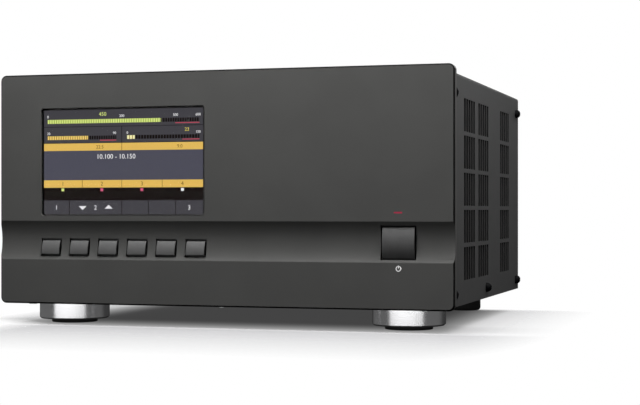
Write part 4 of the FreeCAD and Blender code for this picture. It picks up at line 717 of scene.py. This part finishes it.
def makeRibbon():  # grey flat cable with its lanes, the first one marked
    tree = newFinish("ribbon_grey", Roughness=0.5)
    x = tree.axes()[0]
    lanes = tree.stripes(x, ribbonFinish["pitch"])
    # darker in the grooves between the lanes, in step with the bump: painted shade
    shade = tree.mix(lanes, tone(*ribbonFinish["groove"]), tone(*ribbonFinish["wire"]))
    edge = x < (corners("ribbon_cable")[0].x + ribbonFinish["edge"]) * mm
    setFinish(tree, Base_Color=tree.mix(edge, shade, tone(*ribbonFinish["marked"])),
              Normal=tree.bump(lanes, ribbonFinish["depth"]))


def makeFinishes():
    for name, settings in plainFinishes.items():
        makePlainFinish(name, **settings)
    makeFascia()
    makeCoverPaint()
    makeWindow()
    makeBoard()
    makeTurnedMetal()
    makeWinding("coil_wire", (168, 88, 42), 1.1, 0.3)
    makeWinding("transformer_tape", (206, 172, 60), 2.4, 0.05)
    makeSleeve()
    makeRibbon()
    makeGlow("indicator_red", (205, 60, 92), 0.5)
    for name, colour in screenColours.items():
        makeGlow(name, colour)


# front plate

plateSizes = {
    "corner": 4.0,
    "rim": 1.0,
    "hollowLow": 43.5,
    "hollowHigh": 69.1,
    "hollowDepth": 2.5,
    "hollowEdge": 0.25,
    "ledge": 2.0,  # the pane's ledge stands this far outside the window
    "paneGap": 0.15,
    "paneDepth": 1.75,
    "windowCorner": 2.0,
    "keyGap": (0.95, 1.15),  # beside and above
    "powerGap": (1.0, 0.6),
    "lightGap": (0.1, 0.1),
    "softEdge": 0.18,
}
keySizes = {"count": 6, "width": 12.9, "height": 9.6, "slope": 2.6, "lip": 1.6, "sheet": 1.5, "back": 5.65,
            "plunger": 1.5, "edge": 0.45}
powerSizes = {"width": 20.8, "height": 20.6, "crown": 27.0, "lip": 1.6, "sheet": 1.5, "back": 5.65,
              "plunger": 2.8, "edge": 0.5}
lightSizes = {"width": 5.2, "height": 0.8}


def middleOf(node):
    low, high = corners(node)
    return (low + high) / 2


def frontY():
    return corners("front_panel")[0].y


def windowCorners():
    low, high = corners("display_window")
    inset = plateSizes["ledge"] - plateSizes["paneGap"]
    return Vector((low.x + inset, 0, low.z + inset)), Vector((high.x - inset, 0, high.z - inset))


def arcRadius(chord, depth):
    return chord * chord / (8 * depth) + depth / 2


def openingCutter(node, sizes, gap):
    middle = middleOf(node)
    across, up = sizes["width"] / 2 + gap[0], sizes["height"] / 2 + gap[1]
    low, high = corners("front_panel")
    return addBlock("cutter", (middle.x - across, low.y - 1, middle.z - up),
                    (middle.x + across, high.y + 1, middle.z + up))


def hollowPlate(plate):  # the shallow hollow across it, with its two edges eased
    low, high = corners("front_panel")
    levels = (plateSizes["hollowLow"], plateSizes["hollowHigh"])
    depth = plateSizes["hollowDepth"]
    radius = arcRadius(levels[1] - levels[0], depth)
    centre = (0, low.y + depth - radius, sum(levels) / 2)
    combine(plate, addRod("cutter", centre, radius, high.x * 2 + 4, "X", 300))

    def onHollowEdge(a, b):
        return runsAlong(a, b, 0) and close(a.y, low.y, 0.05) and min(abs(a.z - z) for z in levels) < 0.3

    bevelEdges(plate, onHollowEdge, plateSizes["hollowEdge"], 2)


def openWindow(plate):
    low, high = corners("front_panel")
    openLow, openHigh = windowCorners()
    through = addBlock("cutter", (openLow.x, low.y - 1, openLow.z), (openHigh.x, high.y + 1, openHigh.z))
    bevelEdges(through, lambda a, b: runsAlong(a, b, 1), plateSizes["windowCorner"], 8)
    combine(plate, through)
    ledge, depth = plateSizes["ledge"], plateSizes["paneDepth"]
    combine(plate, addBlock("cutter", (openLow.x - ledge, low.y + depth, openLow.z - ledge),
                            (openHigh.x + ledge, high.y + 1, openHigh.z + ledge)))


def paintRimShade(plate):  # painted shade: the chamfered rim gets a near-black colour
    low, high = corners("front_panel")
    corner, rim = plateSizes["corner"], plateSizes["rim"]
    middle = (low + high) / 2
    straight = (high - low) / 2 - Vector((corner, 0, corner))
    for face in plate.data.polygons:
        spot = face.center / mm
        across = max(abs(spot.x - middle.x) - straight.x, 0)
        up = max(abs(spot.z - middle.z) - straight.z, 0)
        if math.hypot(across, up) > corner - rim and spot.y < low.y + rim:
            face.material_index = 1


def makeFrontPlate():
    low, high = corners("front_panel")
    plate = addBlock("frontPlate", low, high)
    bevelEdges(plate, lambda a, b: runsAlong(a, b, 1), plateSizes["corner"], 10)
    bevelEdges(plate, lambda a, b: bothAt(a, b, 1, low.y), plateSizes["rim"], 1)
    hollowPlate(plate)
    openWindow(plate)
    for number in range(keySizes["count"]):
        combine(plate, openingCutter(f"soft_key_{number + 1}", keySizes, plateSizes["keyGap"]))
    combine(plate, openingCutter("power_button", powerSizes, plateSizes["powerGap"]))
    combine(plate, openingCutter("light_pipe", lightSizes, plateSizes["lightGap"]))
    softenEdges(plate, plateSizes["softEdge"], 2, 50)
    paint(plate, "fascia", "fascia_rim_shade")
    paintRimShade(plate)
    attach(plate, "front_panel")


# soft keys, power button and indicator

def plungedCap(cap, middle, sizes, tip):  # adds the lip behind the plate and the plunger to the switch
    front = frontY() + sizes["back"]
    across, up = sizes["width"] / 2 + sizes["lip"], sizes["height"] / 2 + sizes["lip"]
    lip = addBlock("lip", (middle.x - across, front, middle.z - up),
                   (middle.x + across, front + sizes["sheet"], middle.z + up))
    plunger = addRod("plunger", (middle.x, (front + tip) / 2, middle.z), sizes["plunger"],
                     tip - front, "Y", 32)
    combine(cap, lip, "UNION")
    return combine(cap, plunger, "UNION")


def makeCap(name, node, sizes, crownRadius, crownZ):
    middle = middleOf(node)
    front = frontY()
    across, up = sizes["width"] / 2, sizes["height"] / 2
    cap = addBlock(name, (middle.x - across, front, middle.z - up),
                   (middle.x + across, front + sizes["back"], middle.z + up))
    crown = addRod("crown", (middle.x, front + crownRadius, crownZ), crownRadius,
                   sizes["width"] * 2, "X", 360)
    combine(cap, crown, "INTERSECT")

    def onBorder(a, b):  # of the crowned face, and the four corners that run back from it
        if min(a.y, b.y) > front + sizes["back"] - 0.1:
            return False
        aSide, bSide = (close(abs(point.x - middle.x), across) for point in (a, b))
        aEnd, bEnd = (close(abs(point.z - middle.z), up) for point in (a, b))
        if runsAlong(a, b, 0):
            return aEnd and bEnd
        if runsAlong(a, b, 1):
            return aSide and aEnd
        return aSide and bSide and not (close(a.y, b.y) and close(a.z, b.z))

    bevelEdges(cap, onBorder, sizes["edge"], 3)
    plungedCap(cap, middle, sizes, corners(node)[1].y)
    smooth(cap, 28)
    paint(cap, "key_plastic", "key_side")
    for face in cap.data.polygons:
        face.material_index = 0 if face.normal.y < -0.6 else 1  # only the front keeps the key's colour; the sides take a near-black one, painted shade
    return cap


def makeKeys():
    middle = middleOf("soft_key_1")
    bottom = middle.z - keySizes["height"] / 2
    radius = (keySizes["slope"] ** 2 + keySizes["height"] ** 2) / (2 * keySizes["slope"])
    first = makeCap("softKey1", "soft_key_1", keySizes, radius, bottom)
    keys = [first]
    for number in range(2, keySizes["count"] + 1):
        keys.append(copyOf(first, middleOf(f"soft_key_{number}") - middle, f"softKey{number}"))
    for number, key in enumerate(keys, 1):
        attach(key, f"soft_key_{number}", f"key_{number}")


def makePowerButton():
    middle = middleOf("power_button")
    button = makeCap("powerButton", "power_button", powerSizes, powerSizes["crown"], middle.z)
    attach(button, "power_button", "power_key")


markSizes = {"place": (119.5, 39.9), "radius": 1.5, "line": 0.22, "opening": 1.0118, "barEnd": 2.025,
             "height": 0.03, "edge": 0.005}


def makePowerMark():  # the plain standby symbol, printed under the button
    x, z = markSizes["place"]
    y = frontY()
    radius, line, half = markSizes["radius"], markSizes["line"], markSizes["height"] / 2
    ring = addRod("powerMark", (x, y, z), radius + line, markSizes["height"], "Y", 64)
    combine(ring, addRod("cutter", (x, y, z), radius - line, 1, "Y", 64))
    side = markSizes["opening"] / 2
    combine(ring, addBlock("cutter", (x - side, y - 1, z), (x + side, y + 1, z + 2 * radius)))
    bar = addBlock("bar", (x - line, y - half, z + line), (x + line, y + half, z + markSizes["barEnd"]))
    mark = joinAll("powerMark", [ring, bar])
    bevelEdges(mark, lambda a, b: close(a.y, b.y, 0.001) and a.y < y, markSizes["edge"], 1)
    paint(mark, "print_white")
    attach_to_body(mark, "case")


# display: pane, and a lit picture of bars, boxes and plain numbers

screenColours = {
    "screenGrey": (66, 65, 70),
    "screenBlue": (76, 76, 88),
    "screenDark": (26, 24, 27),
    "screenLine": (62, 60, 64),
    "screenBlack": (18, 12, 11),
    "screenOrange": (224, 184, 92),
    "screenBrown": (112, 84, 30),
    "screenLime": (212, 228, 130),
    "screenLimeDark": (134, 152, 62),
    "screenAmber": (234, 202, 112),
    "screenAmberDark": (146, 112, 40),
    "screenCream": (240, 236, 176),
    "screenRed": (178, 70, 88),
    "screenPink": (214, 92, 128),
    "screenWhite": (236, 236, 238),
    "screenYellow": (214, 200, 84),
}
screenPlace = {"left": -124.4, "top": 142.5, "layer": 0.1, "scale": (0.9935, 0.9905)}
screenSizes = {"gap": 0.45, "numberLayer": 2.6, "relief": 0.04, "capShare": 0.7, "arrowLayer": 1.5}
paneSizes = {"corner": 0.8, "softEdge": 0.12}
screenPanels = [  # left, top, right, bottom in mm from the picture's upper left corner, layer, colour
    (0, 0, 114.1, 21.9, 0, "screenGrey"),
    (0, 11.0, 114.1, 11.4, 1, "screenDark"),
    (56.5, 11.4, 56.9, 22.3, 1, "screenDark"),
    (0, 22.3, 114.1, 27.2, 0, "screenOrange"),
    (56.6, 22.3, 56.9, 27.2, 1, "screenBrown"),
    (0, 27.2, 114.1, 46.9, 0, "screenBlue"),
    (0, 46.9, 114.1, 51.9, 0, "screenOrange"),
    (28.0, 46.5, 28.3, 51.9, 1, "screenBrown"),
    (56.6, 46.5, 56.9, 51.9, 1, "screenBrown"),
    (85.4, 46.5, 85.7, 51.9, 1, "screenBrown"),
    (0, 51.9, 114.1, 60.4, 0, "screenBlack"),
    (0, 60.4, 114.1, 69.6, 0, "screenGrey"),
    (18.5, 60.4, 19.0, 69.6, 1, "screenBlack"),
    (56.5, 60.4, 57.0, 69.6, 1, "screenBlack"),
    (75.5, 60.4, 76.0, 69.6, 1, "screenBlack"),
    (94.8, 60.4, 95.3, 69.6, 1, "screenBlack"),
    (12.9, 52.4, 14.9, 54.3, 1, "screenLime"),
    (41.4, 52.4, 43.4, 54.3, 1, "screenPink"),
    (70.1, 52.4, 72.1, 54.3, 1, "screenPink"),
    (98.8, 52.4, 100.8, 54.3, 1, "screenWhite"),
    (94.8, 9.3, 111.6, 9.9, 1, "screenRed"),
    (41.0, 20.1, 52.8, 20.7, 1, "screenRed"),
    (99.8, 20.1, 111.6, 20.7, 1, "screenRed"),
]
screenBars = [  # left, top, right, bottom, lit up to, pitch of the segments, colours
    (2.8, 6.3, 111.6, 8.9, 84.7, 1.7, "screenLime", "screenLimeDark"),
    (2.8, 17.3, 52.8, 19.8, 32.4, 1.7, "screenAmber", "screenAmberDark"),
    (60.6, 17.3, 111.6, 19.8, 66.6, 2.0, "screenCream", "screenAmberDark"),
]
screenNumbers = [  # text, middle, centre line, height, colour
    ("0", 3.0, 4.3, 1.7, "screenWhite"),
    ("200", 56.8, 4.3, 1.7, "screenWhite"),
    ("500", 95.0, 4.3, 1.7, "screenWhite"),
    ("600", 110.8, 4.3, 1.7, "screenWhite"),
    ("450", 43.0, 2.9, 2.5, "screenLime"),
    ("20", 3.6, 15.6, 1.6, "screenWhite"),
    ("90", 51.6, 15.6, 1.6, "screenWhite"),
    ("0", 60.8, 15.6, 1.6, "screenWhite"),
    ("150", 110.8, 15.6, 1.6, "screenWhite"),
    ("23", 103.0, 13.9, 2.3, "screenYellow"),
    ("22.5", 41.0, 24.8, 2.2, "screenBrown"),
    ("9.0", 98.0, 24.8, 2.2, "screenBrown"),
    ("10.100 - 10.150", 52.6, 31.2, 3.1, "screenWhite"),
    ("1", 14.0, 49.3, 2.6, "screenBrown"),
    ("2", 42.4, 49.3, 2.6, "screenBrown"),
    ("3", 71.2, 49.3, 2.6, "screenBrown"),
    ("4", 99.8, 49.3, 2.6, "screenBrown"),
    ("1", 9.3, 65.1, 2.9, "screenWhite"),
    ("2", 37.8, 65.1, 2.9, "screenWhite"),
    ("3", 104.6, 65.1, 2.9, "screenWhite"),
]
screenArrows = [(28.4, 65.1, 5.6, -2.6), (47.3, 65.1, 5.6, 2.6)]  # middle, centre line, width, height


def onScreen(across, down, layer):
    face = corners("display_module")[0].y
    wide, high = screenPlace["scale"]
    return Vector((screenPlace["left"] + across * wide, face - layer * screenPlace["layer"],
                   screenPlace["top"] - down * high))


def screenPlate(left, top, right, bottom, layer, colour):
    plate = addBlock("plate", onScreen(left, bottom, layer + 1), onScreen(right, top, layer))
    paint(plate, colour)
    return plate


def barPlates(left, top, right, bottom, lit, pitch, colour, darkColour):
    plates = [
        screenPlate(left, top, lit, bottom, 1, colour),
        screenPlate(lit, top, right, bottom, 1, "screenBlack"),
    ]
    gap = screenSizes["gap"]
    for number in range(int((right - left) / pitch)):
        place = left + (number + 1) * pitch
        shade = darkColour if place < lit - gap else "screenLine"
        plates.append(screenPlate(place - gap, top, place, bottom, 2, shade))
    return plates


def numberPlate(text, across, down, height, colour):
    deselectAll()
    bpy.ops.object.text_add(rotation=(math.pi / 2, 0, 0))
    label = bpy.context.object
    label.data.body = text
    label.data.align_x = "CENTER"
    label.data.size = height * mm / screenSizes["capShare"]
    label.data.extrude = screenSizes["relief"] * mm
    label.data.resolution_u = 3
    bpy.ops.object.convert(target="MESH")
    label = bpy.context.object
    label.location = (onScreen(across, down, screenSizes["numberLayer"]) - Vector((0, 0, height / 2))) * mm
    applyPlace(label)
    paint(label, colour)
    return label


def arrowPlate(across, down, width, height):
    deselectAll()
    middle = onScreen(across, down, screenSizes["arrowLayer"])
    bpy.ops.mesh.primitive_cylinder_add(vertices=3, radius=1, depth=screenPlace["layer"] * mm,
                                        location=middle * mm, rotation=(math.pi / 2, 0, 0))
    arrow = bpy.context.object
    arrow.scale = (width / math.sqrt(3) * mm, height / 1.5 * mm, 1)
    applyPlace(arrow)
    activate(arrow)
    bpy.ops.object.mode_set(mode="EDIT")
    bpy.ops.mesh.select_all(action="SELECT")
    bpy.ops.mesh.normals_make_consistent(inside=False)
    bpy.ops.object.mode_set(mode="OBJECT")
    paint(arrow, "screenWhite")
    return arrow


def makeDisplay():
    plates = [screenPlate(*panel) for panel in screenPanels]
    for bar in screenBars:
        plates += barPlates(*bar)
    plates += [arrowPlate(*arrow) for arrow in screenArrows]
    attach(joinAll("screenPicture", plates))
    attach(joinAll("screenNumbers", [numberPlate(*label) for label in screenNumbers]))
    pane = addBlock("displayPane", *corners("display_window"))
    bevelEdges(pane, lambda a, b: runsAlong(a, b, 1), paneSizes["corner"], 4)
    softenEdges(pane, paneSizes["softEdge"], 1, 60)
    settle(pane, "window_clear", "display_window")


# cover and its screws

coverSizes = {
    "sheet": 1.2,
    "bend": 2.0,
    "slotWidth": 5.7,
    "slotPitch": 7.7,
    "slotRound": 0.4,
    "slots": 5,
    "blocks": (-77.85, -29.35, 53.75),
    "rows": 5,
    "rowPitch": 23.66,
    "rowHeight": 21.1,
    "firstRow": 31.6,  # bottom of the lowest row
    "softEdge": 0.15,
}
domeSizes = {
    "tall": [(-18.25, 23.6), (102.95, 23.6), (102.95, 149.2)],  # y and z
    "low": [(-119.85, 23.6), (-119.85, 149.2)],  # behind the front plate's rim
    "radius": 3.2,
    "heights": {"tall": 3.7, "low": 1.3},
    "softEdge": 0.12,
    "shank": 1.95,
    "length": 5.5,
    "socket": 1.5,
    "socketDepths": {"tall": 1.2, "low": 0.7},
    "hole": 2.1,
}


def repeat(piece, count, step):  # step is in mm
    applyModifier(piece, "ARRAY", count=count, use_relative_offset=False, use_constant_offset=True,
                  constant_offset_displace=[length * mm for length in step])


def slotCutters():
    low, high = corners("top_cover")
    width, pitch, bottom = coverSizes["slotWidth"], coverSizes["slotPitch"], coverSizes["firstRow"]
    cutters = []
    for middle in coverSizes["blocks"]:
        start = middle - (coverSizes["slots"] - 1) / 2 * pitch - width / 2
        slot = addBlock("slot", (low.x - 1, start, bottom),
                        (high.x + 1, start + width, bottom + coverSizes["rowHeight"]))
        bevelEdges(slot, lambda a, b: runsAlong(a, b, 0), coverSizes["slotRound"], 2)
        repeat(slot, coverSizes["slots"], (0, pitch, 0))
        repeat(slot, coverSizes["rows"], (0, 0, coverSizes["rowPitch"]))
        cutters.append(slot)
    for y, z in domeSizes["tall"] + domeSizes["low"]:
        cutters.append(addRod("hole", (0, y, z), domeSizes["hole"], high.x * 2 + 2, "X", 24))
    return joinAll("cutters", cutters)


def makeCover():
    low, high = corners("top_cover")
    cover = addBlock("wrapCover", low, high)
    bevelEdges(cover, lambda a, b: runsAlong(a, b, 1) and bothAt(a, b, 2, high.z), coverSizes["bend"], 6)
    chooseFaces(cover, lambda normal, centre: abs(normal.y) > 0.9 or normal.z < -0.9)
    bpy.ops.mesh.delete(type="FACE")
    bpy.ops.object.mode_set(mode="OBJECT")
    applyModifier(cover, "SOLIDIFY", thickness=coverSizes["sheet"] * mm, offset=-1, use_even_offset=True)
    combine(cover, slotCutters())
    softenEdges(cover, coverSizes["softEdge"], 2, 50)
    settle(cover, "cover_paint", "top_cover")


def makeDome(kind):  # one dome-headed screw at the origin, pointing along +X
    radius, height = domeSizes["radius"], domeSizes["heights"][kind]
    ballRadius = (radius * radius + height * height) / (2 * height)
    deselectAll()
    bpy.ops.mesh.primitive_uv_sphere_add(segments=48, ring_count=40, radius=ballRadius * mm,
                                         location=((height - ballRadius) * mm, 0, 0),
                                         rotation=(0, math.pi / 2, 0))
    head = applyPlace(bpy.context.object)
    activate(head)
    bpy.ops.object.mode_set(mode="EDIT")
    bpy.ops.mesh.select_all(action="SELECT")
    bpy.ops.mesh.bisect(plane_co=(0, 0, 0), plane_no=(1, 0, 0), clear_inner=True, use_fill=True)
    bpy.ops.object.mode_set(mode="OBJECT")
    combine(head, addRod("rim", (0, 0, 0), radius, 4 * height, "X", 48), "INTERSECT")
    depth = domeSizes["socketDepths"][kind]
    combine(head, addRod("socket", (height, 0, 0), domeSizes["socket"], 2 * depth, "X", 6))
    sunk = 0.2  # the shank's end inside the head
    combine(head, addRod("shank", ((sunk - domeSizes["length"]) / 2, 0, 0), domeSizes["shank"],
                         domeSizes["length"] + sunk, "X", 24), "UNION")
    return softenEdges(head, domeSizes["softEdge"], 2, 50)


def makeCoverScrews():
    half = corners("top_cover")[1].x
    screws = []
    for kind in ("tall", "low"):
        right = makeDome(kind)
        left = copyOf(right)
        left.data.transform(Matrix.Rotation(math.pi, 4, "Z"))
        for y, z in domeSizes[kind]:
            screws.append(copyOf(right, (half, y, z)))
            screws.append(copyOf(left, (-half, y, z)))
        bpy.data.objects.remove(right)
        bpy.data.objects.remove(left)
    settle(joinAll("coverScrews", screws), "black_screw", "cover_screws")


# feet

footSizes = {"chamfer": 1.0, "topEdge": 0.4, "padEdge": 0.5}


def makeFrontFoot(node, name):
    low, high = corners(node)
    foot = addRod(name, (low + high) / 2, (high.x - low.x) / 2, high.z - low.z, "Z", 160)
    bevelEdges(foot, lambda a, b: bothAt(a, b, 2, low.z), footSizes["chamfer"], 1)
    bevelEdges(foot, lambda a, b: bothAt(a, b, 2, high.z), footSizes["topEdge"], 2)
    settle(smooth(foot, 30), "foot_metal", node)


def makeFootPads():
    low, high = corners("front_foot_pads")
    radius = (high.y - low.y) / 2
    pads = []
    for side in ("left", "right"):
        middle = middleOf(f"front_foot_{side}")
        pad = addRod("pad", (middle.x, middle.y, (low.z + high.z) / 2), radius, high.z - low.z, "Z", 96)
        bevelEdges(pad, lambda a, b: bothAt(a, b, 2, low.z), footSizes["padEdge"], 3)
        pads.append(smooth(pad))
    settle(joinAll("frontFootPads", pads), "foot_rubber", "front_foot_pads")


# pieces that keep the frame's own forms, with rounded edges

edgeWidths = {
    "rear_panel": 0.25, "chassis_tray": 0.25, "rear_feet": 0.6, "case_screws": 0.12,
    "mains_inlet": 0.4, "fuse_drawer": 0.25, "mains_switch": 0.3, "mains_rocker": 0.4,
    "data_socket": 0.2, "network_socket": 0.2, "keying_jacks": 0.15, "socket_cores": 0.12,
    "earth_stud": 0.12, "wing_nut": 0.3,
    "fan_frame_left": 0.4, "fan_frame_right": 0.4, "fan_rotor_left": 0.2, "fan_rotor_right": 0.2,
    "fan_guards": 0, "light_pipe": 0.06, "heat_sink": 0.15,
}
threadSizes = {"radius": 8.06, "cut": 0.45, "start": 119.0, "pitch": 1.06, "turns": 10, "edge": 0.2}


def threadGrooves(x, z):
    grooves = []
    for number in range(threadSizes["turns"]):
        place = Vector((x, threadSizes["start"] + number * threadSizes["pitch"], z))
        deselectAll()
        bpy.ops.mesh.primitive_torus_add(location=place * mm, rotation=(math.pi / 2, 0, 0),
                                         major_segments=64, minor_segments=8,
                                         major_radius=threadSizes["radius"] * mm,
                                         minor_radius=threadSizes["cut"] * mm)
        grooves.append(applyPlace(bpy.context.object))
    return joinAll("grooves", grooves)


def makeThreadedSocket(node):  # the barrel's thread is plain grooves
    middle = middleOf(node)
    socket = dressed(node, threadSizes["edge"])
    combine(socket, threadGrooves(middle.x, middle.z))
    smooth(socket, 35)


def makeRoundedPieces():
    for node in ("antenna_socket", "input_socket"):
        makeThreadedSocket(node)
    for node, width in edgeWidths.items():
        dressed(node, width)


def finishHiddenPieces():  # what is still the frame's own takes its finish
    for node in nodes.values():
        if not node.hide_render:
            slot = node.data.materials[0].name.split(".")[0]
            node.data.materials[0] = finishes[slot]


# the script

bpy.context.scene.view_settings.view_transform = "Standard"
makeCamera()
makeFloor()
makeLamps()
makeFlag()
makeWorld()
print("stage ready")
makeFinishes()
print("finishes ready:", len(finishes))
makeFrontPlate()
makeKeys()
makePowerButton()
makePowerMark()
print("front plate and keys ready")
makeDisplay()
print("display ready")
makeCover()
makeCoverScrews()
print("cover ready")
for side in ("left", "right"):
    makeFrontFoot(f"front_foot_{side}", f"frontFoot{side.capitalize()}")
makeFootPads()
print("feet ready")
makeRoundedPieces()
finishHiddenPieces()
print("other pieces ready")

bpy.context.view_layer.update()
